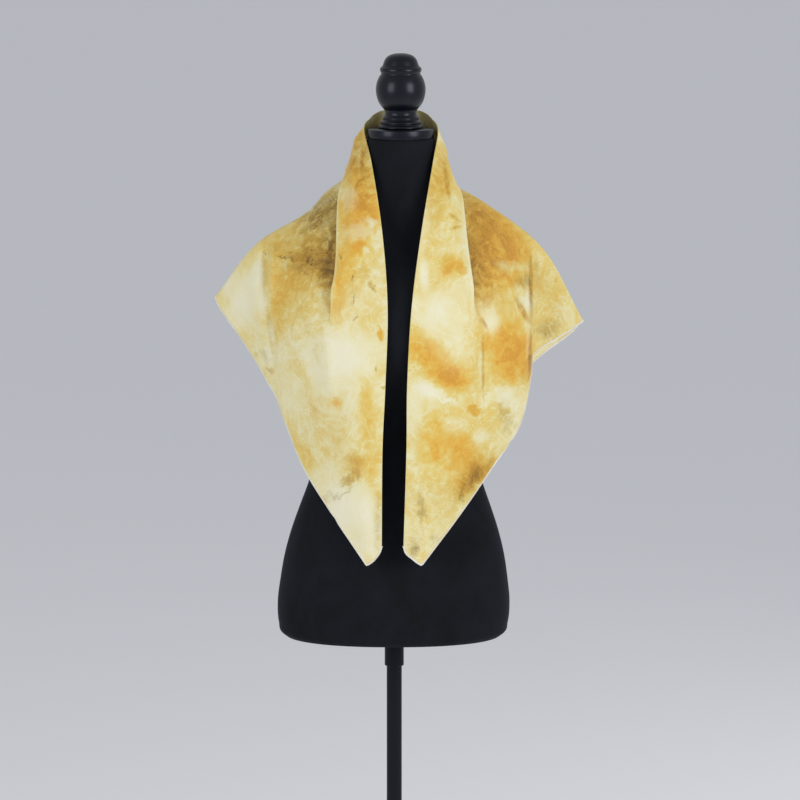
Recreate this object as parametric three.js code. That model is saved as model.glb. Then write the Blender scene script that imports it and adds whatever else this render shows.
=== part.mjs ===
// Silk square scarf, folded nearly on its diagonal and worn round the neck of a velvet dress form.
// Millimetres, +Z up, -Y is the front. The origin is on the floor under the pole.
import * as THREE from "three";

// The square of silk
const SQUARE_SIDE = 1000;
const CLOTH_WALL = 1.4; // both layers of silk and the air between them
const UNDER_WALL = 1.0; // the one layer of silk that shows below the other
const UNDER_TUCK = 14; // how far it is modelled up behind the wing
const SEAM_GAP = 0.4;
const BODY_CLEAR = 0.1; // between the velvet and the silk, before the flats of both are cut

// The grid of the cloth: ribs run from the fold edge to the hem
const FRONT_RIBS = 24;
const BACK_RIBS = 22;
const STEPS = { lapel: 6, shoulder: 3, side: 4, hem: 4 };
const SHOULDER_LINE = 465; // place along the hem where a front meets the back

// The pleat beside each lapel is an S of three layers
const LAYER_PITCH = 4.4;
const PLEAT_FLAT = 8; // half the width of the same stretch where the pleat has faded out
const PLEAT_FULL = 12; // a pleat this deep has its whole S form
const PLEAT_ROOM = 24; // beside a lapel narrower than this the faded pleat is squeezed
const LAPEL_EASE = 6;

// The dress form
const LOW_SHIFT = -1.5; // the torso's middle at its underside, beside the pole's axis
const NECK_SHIFT = 9; // and at the neck, so that the form leans a little
const TORSO_LOW = 721;
const NECK_TOP = 1411;
const TORSO_POWER = 2.25; // 2 is an ellipse, more is squarer
const TORSO_SIDES = 40;
const ROUND_SIDES = 28;
const CAP_RADIUS = 45.4;
const CAP_HEIGHT = 13;
const POLE_RADIUS = 10.5;
const SOCKET_RADIUS = 13.3;
const SOCKET_LOW = 675.6;
const FOOT_RADIUS = 150;
const FOOT_HEIGHT = 16;
const FOOT_SIDES = 48;
const FLANGE_RADIUS = 27; // the plate that the torso stands on
const FLANGE_THICK = 3.5;
const FINIAL_HEIGHT = 102.3;
const CONTACT = 0.3;

const FINISHES = {
  silk: { color: 0xd9b56a, roughness: 0.45, metalness: 0 },
  velvet: { color: 0x0c0e12, roughness: 0.95, metalness: 0 },
  gloss: { color: 0x0a0b0d, roughness: 0.28, metalness: 0 },
  steel: { color: 0x141517, roughness: 0.6, metalness: 0.4 },
};

function table(columns, rows) {
  return rows.map((row) => Object.fromEntries(columns.map((name, i) => [name, row[i]])));
}

// Torso: a row for each level, with its half width and its depth in front and behind
const TORSO = table(["z", "half", "front", "back"], [
  [TORSO_LOW, 149, 99, 103],
  [726, 155.5, 104, 108],
  [738, 159, 106, 111],
  [767, 161, 107, 113],
  [800, 157.5, 104, 113],
  [834, 152, 101, 111],
  [867, 143.5, 97, 106],
  [904, 131, 92, 97],
  [932, 121, 88, 89],
  [965, 112, 86, 82],
  [1000, 108, 88, 78],
  [1040, 110, 95, 78],
  [1080, 118, 106, 81],
  [1115, 128, 116, 85],
  [1150, 136, 120, 90],
  [1190, 144, 113, 95],
  [1225, 153, 96, 94],
  [1243, 161, 80, 88],
  [1255, 162, 71, 83],
  [1265, 156, 64, 78],
  [1276, 144, 59, 73],
  [1288, 128, 56, 68],
  [1302, 110, 55, 64],
  [1318, 92, 54, 61],
  [1337, 75, 51, 57],
  [1360, 60, 49, 53],
  [1385, 52, 47, 49],
  [NECK_TOP, 45, 45, 45],
]);

// Rails: lines that run along the scarf. Each row is keyed by its place along the hem,
// from 0 at a front corner to SQUARE_SIDE at the point of the back.
const RAIL_COLUMNS = ["hem", "x", "y", "z"];
const RAILS = {
  foldEdge: {
    left: table(RAIL_COLUMNS, [
      [0, -17, -125, 868],
      [90, -16, -126, 999],
      [170, -12, -127, 1088],
      [250, -9, -122, 1192],
      [330, -17, -84, 1296],
      [400, -31, -42, 1381],
      [465, -44, 0, 1427],
    ]),
    back: table(RAIL_COLUMNS, [
      [560, 41, 24, 1438],
      [680, 30, 43, 1443],
      [820, 15, 57, 1445],
      [1000, 0, 64, 1446],
    ]),
    right: table(RAIL_COLUMNS, [
      [0, 13, -125, 868],
      [90, 17, -126, 999],
      [170, 18, -127, 1088],
      [250, 24, -122, 1192],
      [330, 38, -84, 1296],
      [400, 53, -42, 1381],
      [465, 60, 0, 1425],
    ]),
  },
  lapelCrease: {
    left: table(RAIL_COLUMNS, [
      [0, -21, -126, 857],
      [90, -34, -127, 975],
      [170, -46, -128, 1052],
      [250, -72, -119, 1126],
      [290, -90, -108, 1178],
      [330, -80, -90, 1226],
      [400, -73, -40, 1316],
      [465, -61, 0, 1358],
    ]),
    back: table(RAIL_COLUMNS, [
      [600, 60, 48, 1350],
      [780, 35, 68, 1360],
      [1000, 0, 74, 1368],
    ]),
    right: table(RAIL_COLUMNS, [
      [0, 17, -126, 857],
      [90, 36, -127, 975],
      [170, 50, -128, 1052],
      [250, 92, -118, 1126],
      [290, 112, -104, 1180],
      [330, 105, -88, 1224],
      [400, 92, -40, 1316],
      [465, 78, 0, 1345],
    ]),
  },
  shoulder: {
    left: table(RAIL_COLUMNS, [
      [0, -26, -126, 850],
      [90, -52, -122, 950],
      [170, -76, -116, 1020],
      [250, -96, -106, 1084],
      [330, -124, -88, 1178],
      [400, -128, -32, 1276],
      [465, -121, 5, 1306],
    ]),
    back: table(RAIL_COLUMNS, [
      [600, 112, 68, 1268],
      [780, 62, 96, 1242],
      [1000, 0, 102, 1262],
    ]),
    right: table(RAIL_COLUMNS, [
      [0, 25, -126, 850],
      [90, 58, -122, 950],
      [170, 84, -116, 1020],
      [250, 122, -102, 1100],
      [330, 148, -82, 1190],
      [368, 147, -51, 1254],
      [415, 137, -22, 1294],
      [465, 129, 0, 1317],
    ]),
  },
  armLine: {
    left: table(RAIL_COLUMNS, [
      [0, -31, -126, 845],
      [90, -70, -112, 928],
      [170, -102, -94, 992],
      [250, -126, -74, 1052],
      [330, -158, -52, 1134],
      [400, -184, -12, 1228],
      [465, -181, 15, 1270],
    ]),
    back: table(RAIL_COLUMNS, [
      [540, 180, 70, 1224],
      [700, 118, 100, 1118],
      [860, 58, 109, 1040],
      [1000, 0, 112, 1014],
    ]),
    right: table(RAIL_COLUMNS, [
      [0, 31, -126, 845],
      [90, 76, -112, 928],
      [170, 112, -96, 992],
      [250, 156, -74, 1060],
      [330, 187, -44, 1150],
      [368, 189, -6, 1212],
      [415, 192, 4, 1252],
      [465, 194, 13, 1268],
    ]),
  },
  hem: {
    left: table(RAIL_COLUMNS, [
      [0, -37, -125, 841],
      [90, -85, -100, 909],
      [170, -123, -70, 966],
      [250, -149, -35, 1023],
      [330, -178, 0, 1082],
      [400, -212, 32, 1132],
      [448, -243, 52, 1174],
      [465, -248, 60, 1185],
      [482, -243, 69, 1184],
    ]),
    back: table(RAIL_COLUMNS, [
      [560, 188, 95, 1104],
      [630, 166, 101, 1034],
      [700, 138, 107, 968],
      [760, 110, 111, 916],
      [980, 12, 116, 764],
      [1000, 0, 117, 750],
    ]),
    right: table(RAIL_COLUMNS, [
      [0, 37, -125, 841],
      [90, 90, -100, 908],
      [170, 134, -75, 968],
      [250, 172, -45, 1022],
      [330, 188, -25, 1091],
      [368, 192, 5, 1112],
      [415, 227, 32, 1132],
      [448, 254, 52, 1147],
      [465, 262, 60, 1152],
      [482, 255, 70, 1152],
    ]),
  },
};

// How deep the pleat is tucked at places along the hem; it is deepest over the shoulder
const PLEAT = table(["hem", "left", "right"], [
  [270, 0, 0],
  [300, 5, 4],
  [330, 14, 12],
  [400, 30, 28],
  [465, 36, 34],
  [600, 24, 24],
  [760, 0, 0],
]);

// How far the soft ridge beside the collar stands over the cloth, at places along the hem
const RIDGE = table(["hem", "left", "right"], [
  [300, 0, 0],
  [400, 3, 1],
  [465, 6.5, 2],
  [560, 4, 2],
  [760, 0, 0],
]);

// The S of a pleat, a row for each point along it: its place on the rib, as a share of the
// pleat's depth and of half a layer, and how many layers it stands above the cloth
const PLEAT_FORM = table(["depth", "half", "layers"], [
  [0, -1, 2],
  [0, 0.4, 1.75],
  [0, 0.8, 1.4],
  [0, -1, 1],
  [-0.4, 0, 1],
  [-0.7, 0, 1],
  [-1, 0, 1],
  [-1, -1, 0.6],
  [-1, -0.7, 0.15],
  [-1, 1, 0],
  [-0.5, 0, 0],
  [0, 0, 0],
]);

// The under layer below the right wing: how far it shows at each rib, counted from the front corner
const UNDER_STRIP = table(["rib", "peek"], [
  [23, 1.5],
  [22, 3.5],
  [21, 5],
  [20, 6],
  [19, 7],
]);

// Value of each column of a table at one key, on a smooth curve through its rows
function curveThrough(rows, key, at) {
  const keys = rows.map((row) => row[key]);
  let i = 0;
  while (i < rows.length - 2 && at >= keys[i + 1]) i += 1;
  const span = keys[i + 1] - keys[i];
  const w = THREE.MathUtils.clamp((at - keys[i]) / span, 0, 1);
  const result = {};
  for (const column of Object.keys(rows[0])) {
    if (column === key) continue;
    const value = (j) => rows[j][column];
    const slope = (j) => {
      if (j === 0) return (value(1) - value(0)) / (keys[1] - keys[0]);
      const before = keys[j] - keys[j - 1];
      const rise = (value(j) - value(j - 1)) / before;
      if (j === rows.length - 1) return rise;
      const after = keys[j + 1] - keys[j];
      return (rise * after + ((value(j + 1) - value(j)) / after) * before) / (before + after);
    };
    const m0 = slope(i) * span;
    const m1 = slope(i + 1) * span;
    const w2 = w * w;
    const w3 = w2 * w;
    result[column] =
      (2 * w3 - 3 * w2 + 1) * value(i) + (w3 - 2 * w2 + w) * m0 +
      (3 * w2 - 2 * w3) * value(i + 1) + (w3 - w2) * m1;
  }
  return result;
}

function axisX(z) {
  return LOW_SHIFT + ((NECK_SHIFT - LOW_SHIFT) * (z - TORSO_LOW)) / (NECK_TOP - TORSO_LOW);
}

// How far a point lies outside the torso, roughly, as a number with no unit
function torsoField(p) {
  const level = curveThrough(TORSO, "z", THREE.MathUtils.clamp(p.z, TORSO_LOW, NECK_TOP));
  const depth = p.y < 0 ? level.front : level.back;
  const across = Math.abs((p.x - axisX(p.z)) / level.half) ** TORSO_POWER;
  const through = Math.abs(p.y / depth) ** TORSO_POWER;
  return (across + through) ** (1 / TORSO_POWER) - 1;
}

// Moves a point out of the torso until it has its clearance, with a soft start
function clearOfTorso(point, clearance) {
  const STEP = 0.5;
  const SOFT = 1.2;
  const ROUNDS = 8;
  const DEEP = 20;
  const LONGEST_PUSH = 15;
  const p = point.clone();
  for (let round = 0; round < ROUNDS; round += 1) {
    const gradient = new THREE.Vector3();
    for (const axis of ["x", "y", "z"]) {
      const ahead = p.clone();
      const behind = p.clone();
      ahead[axis] += STEP;
      behind[axis] -= STEP;
      gradient[axis] = (torsoField(ahead) - torsoField(behind)) / (2 * STEP);
    }
    const size = gradient.length();
    const lack = clearance - torsoField(p) / size;
    const push = lack > DEEP ? lack : SOFT * Math.log1p(Math.exp(lack / SOFT));
    p.addScaledVector(gradient, Math.min(push, LONGEST_PUSH) / size);
    if (lack < 0) break;
  }
  return p;
}

// One rail over the whole scarf, from the left front corner over the back to the right
function wholeRail(rail) {
  const middle = axisX(NECK_TOP);
  const turned = (row) => 2 * SQUARE_SIDE - row.hem;
  const leftBack = rail.back.map((row) => ({ ...row, x: middle - row.x }));
  const rightBack = rail.back.slice(0, -1).map((row) => ({ ...row, x: middle + row.x }));
  const rightSide = [...rail.right, ...rightBack].map((row) => ({ ...row, hem: turned(row) }));
  return [...rail.left, ...leftBack, ...rightSide.reverse()];
}

const WHOLE_RAILS = [
  RAILS.foldEdge, RAILS.lapelCrease, RAILS.shoulder, RAILS.armLine, RAILS.hem,
].map(wholeRail);

const ribCache = new Map();
function ribPoints(at) {
  if (!ribCache.has(at)) {
    const points = WHOLE_RAILS.map((rail) => {
      const p = curveThrough(rail, "hem", at);
      return new THREE.Vector3(p.x, p.y, p.z);
    });
    ribCache.set(at, points);
  }
  return ribCache.get(at);
}

// Point on a rib; u is 0 at the fold edge, 1 at the lapel crease and 4 at the hem
function onRib(at, u) {
  const points = ribPoints(at);
  const rows = [];
  let run = 0;
  points.forEach((p, i) => {
    if (i > 0) run += p.distanceTo(points[i - 1]);
    rows.push({ run, x: p.x, y: p.y, z: p.z });
  });
  const i = Math.min(Math.floor(u), points.length - 2);
  const along = rows[i].run + (rows[i + 1].run - rows[i].run) * (u - i);
  const p = curveThrough(rows, "run", along);
  return new THREE.Vector3(p.x, p.y, p.z);
}

function clothNormal(at, u) {
  const AT_STEP = 4;
  const U_STEP = 0.06;
  const last = 2 * SQUARE_SIDE;
  const lengthwise = onRib(Math.min(at + AT_STEP, last), u)
    .sub(onRib(Math.max(at - AT_STEP, 0), u));
  const crosswise = onRib(at, Math.min(u + U_STEP, 4)).sub(onRib(at, Math.max(u - U_STEP, 0)));
  return lengthwise.cross(crosswise).normalize();
}

// A table's value on the side of this rib, and nothing outside its rows
function sideValue(rows, at) {
  const fromCorner = at <= SQUARE_SIDE ? at : 2 * SQUARE_SIDE - at;
  const first = rows[0].hem;
  const last = rows[rows.length - 1].hem;
  if (fromCorner <= first || fromCorner >= last) return 0;
  const value = curveThrough(rows, "hem", fromCorner);
  return Math.max(0, at <= SQUARE_SIDE ? value.left : value.right);
}

// How far each point of a pleat lies along the rib and above the cloth,
// and where it lies once the pleat has faded out
function pleatPath(depth) {
  const half = LAYER_PITCH / 2;
  const path = PLEAT_FORM.map((row) => ({
    along: row.depth * depth + row.half * half,
    above: row.layers * LAYER_PITCH,
  }));
  path.push({ along: PLEAT_FLAT, above: 0 });
  const flatStep = (2 * PLEAT_FLAT) / (path.length - 1);
  return path.map((p, i) => ({ ...p, faded: -PLEAT_FLAT + i * flatStep }));
}

function ribRow(at) {
  const points = ribPoints(at);
  const lapelWidth = points[0].distanceTo(points[1]);
  const nextWidth = points[1].distanceTo(points[2]);
  const depth = sideValue(PLEAT, at);
  const form = THREE.MathUtils.smoothstep(depth, 0, PLEAT_FULL);
  const fadedSpan = Math.min(1, lapelWidth / PLEAT_ROOM);
  const place = (along) => 1 + along / (along < 0 ? lapelWidth : nextWidth);
  const ridge = (u) => (u > 1 && u < 2 ? sideValue(RIDGE, at) * Math.sin(Math.PI * (u - 1)) ** 2 : 0);
  const lift = (u, above) => onRib(at, u).addScaledVector(clothNormal(at, u), above + ridge(u));
  const row = [];
  const path = pleatPath(depth);
  const startU = place(THREE.MathUtils.lerp(path[0].faded * fadedSpan, path[0].along, form));
  for (let i = 0; i < STEPS.lapel; i += 1) {
    const u = (startU * i) / STEPS.lapel;
    const room = Math.max(1, lapelWidth - depth - LAPEL_EASE);
    const rise = THREE.MathUtils.smoothstep(u * lapelWidth, 0, room);
    row.push(lift(u, 2 * LAYER_PITCH * form * rise));
  }
  let lastU = startU;
  for (const p of path) {
    const along = THREE.MathUtils.lerp(p.faded * fadedSpan, p.along, form);
    lastU = place(along);
    row.push(lift(lastU, p.above * form));
  }
  [[lastU, 2, STEPS.shoulder], [2, 3, STEPS.side], [3, 4, STEPS.hem]].forEach(([from, to, count]) => {
    for (let i = 1; i <= count; i += 1) row.push(lift(from + ((to - from) * i) / count, 0));
  });
  return row.map((p) => clearOfTorso(p, BODY_CLEAR + CLOTH_WALL / 2));
}

// Closed wall on a grid of points, with its thickness shared between its two sides
function wallFromGrid(grid, normals, below, above) {
  const rows = grid.length;
  const columns = grid[0].length;
  const positions = [];
  const push = (p, n, offset) => {
    positions.push(p.x + n.x * offset, p.y + n.y * offset, p.z + n.z * offset);
  };
  grid.forEach((row, i) => row.forEach((p, j) => push(p, normals[i][j], above)));
  grid.forEach((row, i) => row.forEach((p, j) => push(p, normals[i][j], -below)));
  const outer = (i, j) => i * columns + j;
  const inner = (i, j) => rows * columns + i * columns + j;
  const index = [];
  const quad = (a, b, c, d) => index.push(a, b, c, a, c, d);
  for (let i = 0; i < rows - 1; i += 1) {
    for (let j = 0; j < columns - 1; j += 1) {
      quad(outer(i, j), outer(i, j + 1), outer(i + 1, j + 1), outer(i + 1, j));
      quad(inner(i, j), inner(i + 1, j), inner(i + 1, j + 1), inner(i, j + 1));
    }
  }
  for (let j = 0; j < columns - 1; j += 1) {
    const end = rows - 1;
    quad(outer(0, j), inner(0, j), inner(0, j + 1), outer(0, j + 1));
    quad(outer(end, j + 1), inner(end, j + 1), inner(end, j), outer(end, j));
  }
  for (let i = 0; i < rows - 1; i += 1) {
    const end = columns - 1;
    quad(outer(i, 0), outer(i + 1, 0), inner(i + 1, 0), inner(i, 0));
    quad(outer(i, end), inner(i, end), inner(i + 1, end), outer(i + 1, end));
  }
  const geometry = new THREE.BufferGeometry();
  geometry.setAttribute("position", new THREE.Float32BufferAttribute(positions, 3));
  geometry.setIndex(index);
  return geometry;
}

function gridNormals(grid) {
  const rows = grid.length;
  const columns = grid[0].length;
  return grid.map((row, i) => row.map((_, j) => {
    const down = grid[Math.min(i + 1, rows - 1)][j].clone().sub(grid[Math.max(i - 1, 0)][j]);
    const across = row[Math.min(j + 1, columns - 1)].clone().sub(row[Math.max(j - 1, 0)]);
    return across.cross(down).normalize();
  }));
}

// The two fronts and the back are cut from one grid, so that they meet smoothly
const frontPlaces = Array.from({ length: FRONT_RIBS + 1 }, (_, i) => (SHOULDER_LINE * i) / FRONT_RIBS);
const backPlaces = Array.from({ length: BACK_RIBS + 1 }, (_, i) => {
  const t = i / BACK_RIBS;
  return SHOULDER_LINE + (2 * SQUARE_SIDE - 2 * SHOULDER_LINE) * t;
});
const rightPlaces = frontPlaces.map((at) => 2 * SQUARE_SIDE - at).reverse();
const allPlaces = [...frontPlaces, ...backPlaces.slice(1), ...rightPlaces.slice(1)];
const clothGrid = allPlaces.map(ribRow);
const clothNormals = gridNormals(clothGrid);

// A stretch of the cloth, drawn back by half a gap at its ends that meet another stretch
function stretchOfCloth(first, last) {
  const grid = clothGrid.slice(first, last + 1).map((row) => row.map((p) => p.clone()));
  const normals = clothNormals.slice(first, last + 1);
  const drawBack = (row, seam, share) => row.forEach((p, j) => {
    const way = clothGrid[seam + 1][j].clone().sub(clothGrid[seam - 1][j]);
    p.addScaledVector(way.normalize(), share * SEAM_GAP);
  });
  if (first > 0) drawBack(grid[0], first, 0.5);
  if (last < clothGrid.length - 1) drawBack(grid[grid.length - 1], last, -0.5);
  return wallFromGrid(grid, normals, CLOTH_WALL / 2, CLOTH_WALL / 2);
}

// The under layer of the fold, a narrow strip where its hem shows below the right wing
function underLayer() {
  const fromEnd = (count) => clothGrid.length - 1 - count;
  const grid = [];
  const normals = [];
  UNDER_STRIP.forEach((row) => {
    const i = fromEnd(row.rib);
    const line = clothGrid[i];
    const hem = line[line.length - 1];
    const outward = hem.clone().sub(line[line.length - 2]).normalize();
    const inward = clothNormals[i][line.length - 1];
    const depth = CLOTH_WALL / 2 + SEAM_GAP + UNDER_WALL / 2;
    const place = (reach) => hem.clone().addScaledVector(outward, reach).addScaledVector(inward, depth);
    grid.push([place(-UNDER_TUCK), place(-UNDER_TUCK / 2), place(0), place(row.peek)]);
    normals.push([inward, inward, inward, inward]);
  });
  return wallFromGrid(grid, normals, UNDER_WALL / 2, UNDER_WALL / 2);
}

const LEFT_END = FRONT_RIBS;
const RIGHT_START = FRONT_RIBS + BACK_RIBS;

function torsoGeometry() {
  const rings = TORSO.map((level) => {
    const ring = [];
    for (let i = 0; i < TORSO_SIDES; i += 1) {
      const angle = (2 * Math.PI * i) / TORSO_SIDES;
      const c = Math.cos(angle);
      const s = Math.sin(angle);
      const r = (Math.abs(c) ** TORSO_POWER + Math.abs(s) ** TORSO_POWER) ** (-1 / TORSO_POWER);
      const depth = s < 0 ? level.front : level.back;
      ring.push(new THREE.Vector3(axisX(level.z) + level.half * r * c, depth * r * s, level.z));
    }
    return ring;
  });
  const positions = rings.flat().flatMap((p) => [p.x, p.y, p.z]);
  const at = (i, j) => i * TORSO_SIDES + (j % TORSO_SIDES);
  const index = [];
  for (let i = 0; i < rings.length - 1; i += 1) {
    for (let j = 0; j < TORSO_SIDES; j += 1) {
      index.push(at(i, j), at(i, j + 1), at(i + 1, j + 1), at(i, j), at(i + 1, j + 1), at(i + 1, j));
    }
  }
  const low = positions.length / 3;
  positions.push(0, 0, TORSO_LOW, axisX(NECK_TOP), 0, NECK_TOP);
  for (let j = 0; j < TORSO_SIDES; j += 1) {
    index.push(low, at(0, j + 1), at(0, j));
    index.push(low + 1, at(rings.length - 1, j), at(rings.length - 1, j + 1));
  }
  const geometry = new THREE.BufferGeometry();
  geometry.setAttribute("position", new THREE.Float32BufferAttribute(positions, 3));
  geometry.setIndex(index);
  return geometry;
}

// Turned piece from rows of radius and height, closed on the axis at both ends
function turned(profile, sides) {
  const points = [
    new THREE.Vector2(0, profile[0].z),
    ...profile.map((p) => new THREE.Vector2(p.r, p.z)),
    new THREE.Vector2(0, profile[profile.length - 1].z),
  ];
  return new THREE.LatheGeometry(points, sides).rotateX(Math.PI / 2);
}

const NECK_CAP = table(["r", "z"], [
  [CAP_RADIUS - 1.5, 0],
  [CAP_RADIUS, 1.5],
  [CAP_RADIUS, CAP_HEIGHT - 2],
  [CAP_RADIUS - 2, CAP_HEIGHT],
]);

const FINIAL = table(["r", "z"], [
  [30, 0],
  [31, 2],
  [30, 4],
  [27.5, 5.5],
  [28, 8],
  [26.5, 10],
  [24.5, 11.5],
  [25, 14],
  [24, 16],
  [22.4, 18],
  [22.4, 24.5],
  [26.3, 29.5],
  [30.5, 36],
  [33.3, 45],
  [34.1, 54],
  [32.6, 63],
  [29.2, 71],
  [26.8, 75],
  [28, 77.5],
  [28.5, 80],
  [27.8, 82.5],
  [25.2, 85],
  [23.6, 89],
  [21.5, 94],
  [17.5, 98.3],
  [11, 101.2],
  [4, FINIAL_HEIGHT],
]);

const FOOT = table(["r", "z"], [
  [FOOT_RADIUS - 1, 0],
  [FOOT_RADIUS, 2],
  [FOOT_RADIUS, 6],
  [FOOT_RADIUS - 4, 9],
  [60, 12.5],
  [28, FOOT_HEIGHT],
]);

const SOCKET = table(["r", "z"], [
  [SOCKET_RADIUS - 0.8, SOCKET_LOW],
  [SOCKET_RADIUS, SOCKET_LOW + 1],
  [SOCKET_RADIUS, TORSO_LOW - FLANGE_THICK],
  [FLANGE_RADIUS, TORSO_LOW - FLANGE_THICK],
  [FLANGE_RADIUS, TORSO_LOW - CONTACT],
]);

const POLE = table(["r", "z"], [
  [POLE_RADIUS, FOOT_HEIGHT + CONTACT],
  [POLE_RADIUS, SOCKET_LOW - CONTACT],
]);

const scarfOnForm = new THREE.Group();

function add(name, geometry, finish, x = 0, z = 0) {
  const mesh = new THREE.Mesh(geometry, new THREE.MeshStandardMaterial(FINISHES[finish]));
  mesh.name = name;
  mesh.position.set(x, 0, z);
  scarfOnForm.add(mesh);
}

add("scarf_left_front", stretchOfCloth(0, LEFT_END), "silk");
add("scarf_back", stretchOfCloth(LEFT_END, RIGHT_START), "silk");
add("scarf_right_front", stretchOfCloth(RIGHT_START, clothGrid.length - 1), "silk");
add("scarf_under_layer", underLayer(), "silk");

const capLow = NECK_TOP + CONTACT;
const finialLow = capLow + CAP_HEIGHT + CONTACT;
add("torso", torsoGeometry(), "velvet");
add("neck_cap", turned(NECK_CAP, ROUND_SIDES), "gloss", axisX(NECK_TOP), capLow);
add("finial", turned(FINIAL, ROUND_SIDES), "gloss", axisX(NECK_TOP), finialLow);
add("pole_socket", turned(SOCKET, ROUND_SIDES), "steel");
add("pole", turned(POLE, ROUND_SIDES), "steel");
add("foot", turned(FOOT, FOOT_SIDES), "steel");

export default scarfOnForm;
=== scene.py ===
"""A silk square, folded nearly on its diagonal and worn round the neck of a velvet dress form.

The cloth is a folded sheet on five rails that run along the scarf.
Sizes of the object are in millimetres until a mesh is made; those of the lights and camera are in metres.
"""

import math

import bpy
import numpy as np
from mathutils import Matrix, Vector


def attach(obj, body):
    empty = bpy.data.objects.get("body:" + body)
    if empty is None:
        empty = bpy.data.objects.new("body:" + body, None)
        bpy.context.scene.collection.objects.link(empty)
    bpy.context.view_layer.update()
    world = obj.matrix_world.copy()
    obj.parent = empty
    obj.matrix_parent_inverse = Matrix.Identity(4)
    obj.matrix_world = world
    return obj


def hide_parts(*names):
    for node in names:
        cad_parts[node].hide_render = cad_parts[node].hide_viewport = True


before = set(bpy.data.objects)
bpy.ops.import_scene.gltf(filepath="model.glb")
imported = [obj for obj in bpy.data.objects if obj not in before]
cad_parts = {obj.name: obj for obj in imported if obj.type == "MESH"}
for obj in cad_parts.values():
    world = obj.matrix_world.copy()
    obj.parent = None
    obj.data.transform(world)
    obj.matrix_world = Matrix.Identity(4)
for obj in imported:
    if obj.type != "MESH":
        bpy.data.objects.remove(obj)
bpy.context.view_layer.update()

# The square of silk
SQUARE_SIDE = 1000.0
SHOULDER_LINE = 465.0  # place along the hem where a front meets the back
CLOTH_WALL = 1.4       # both layers of silk and the air between them
LAYER_HALF = 0.6       # each layer of silk lies this far from the middle of the two
LEAST_LAYER = 0.8      # the inner layer is never narrower than this
BODY_CLEAR = 0.1       # between the velvet and the wall that holds the silk

# The pleat beside each lapel is an S of three layers
LAYER_PITCH = 4.4
PLEAT_FLAT = 8.0       # half the width of the same stretch where the pleat has faded out
PLEAT_FULL = 12.0      # a pleat this deep has its whole S form
PLEAT_ROOM = 24.0      # beside a lapel narrower than this the faded pleat is squeezed
LAPEL_EASE = 6.0
SWELL = 0.45           # how much fuller the pleat is over the chest than at the shoulder
SWELL_LOW = (290, 345)   # the places along the hem where the swell comes in
SWELL_HIGH = (460, 410)  # and where it goes out again

# The rolled hem is a flat bead along the edge
HEM_HALF, HEM_THICK, HEM_INSET = 1.3, 0.5, 0.7
HEM_SECTION = 8        # points round it
HEM_STEP = 2.0
HEM_TRIM = 3           # rows of the cloth left bare at each end, where the hem turns into the fold
STITCH_PITCH = 1.5

# The dress form
TORSO_POWER = 2.25     # 2 is an ellipse, more is squarer
TORSO_LOW, NECK_TOP = 721.0, 1411.0
LOW_SHIFT, NECK_SHIFT = -1.5, 9.0  # the torso's middle beside the pole's axis, low and at the neck
TORSO_SIDES, ROUND_SIDES = 144, 96
CAP_LOW, FINIAL_LOW = 1411.3, 1424.6

# Levels of the torso's mesh: from, to, and how many
TORSO_BANDS = [(TORSO_LOW, 740.0, 12), (740.0, 1230.0, 90), (1230.0, 1345.0, 40), (1345.0, NECK_TOP, 14)]

# Turned pieces: rows of radius and height, low to high
CAP = [(43.4, 0), (44.9, 0.5), (45.4, 2), (45.4, 10.8), (44.9, 12.2), (43.4, 13)]
FINIAL = [
    (30, 0), (31, 2), (30, 4), (27.5, 5.5), (28, 8), (26.5, 10), (24.5, 11.5), (25, 14), (24, 16), (22.4, 18),
    (22.4, 24.5), (26.3, 29.5), (30.5, 36), (33.3, 45), (34.1, 54), (32.6, 63), (29.2, 71), (26.8, 75),
    (28, 77.5), (28.5, 80), (27.8, 82.5), (25.2, 85), (23.6, 89), (21.5, 94), (17.5, 98.3), (11, 101.2),
    (4, 102.3),
]
SOCKET = [(12.5, 675.6), (13.3, 676.4), (13.3, 717.5), (26.6, 717.5), (27, 717.9), (27, 720.7)]
POLE = [(10.5, 16.3), (10.5, 675.3)]
FOOT = [(148.5, 0), (149.6, 0.6), (150, 2), (150, 6), (149, 7.8), (146, 9), (60, 12.5), (34, 14.2), (28, 16)]

# Torso: z, half width, depth in front, depth behind
TORSO = np.array([
    (721, 149, 99, 103), (726, 155.5, 104, 108), (738, 159, 106, 111), (767, 161, 107, 113),
    (800, 157.5, 104, 113), (834, 152, 101, 111), (867, 143.5, 97, 106), (904, 131, 92, 97),
    (932, 121, 88, 89), (965, 112, 86, 82), (1000, 108, 88, 78), (1040, 110, 95, 78),
    (1080, 118, 106, 81), (1115, 128, 116, 85), (1150, 136, 120, 90), (1190, 144, 113, 95),
    (1225, 153, 96, 94), (1243, 161, 80, 88), (1255, 162, 71, 83), (1265, 156, 64, 78),
    (1276, 144, 59, 73), (1288, 128, 56, 68), (1302, 110, 55, 64), (1318, 92, 54, 61),
    (1337, 75, 51, 57), (1360, 60, 49, 53), (1385, 52, 47, 49), (1411, 45, 45, 45),
], float)

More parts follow.
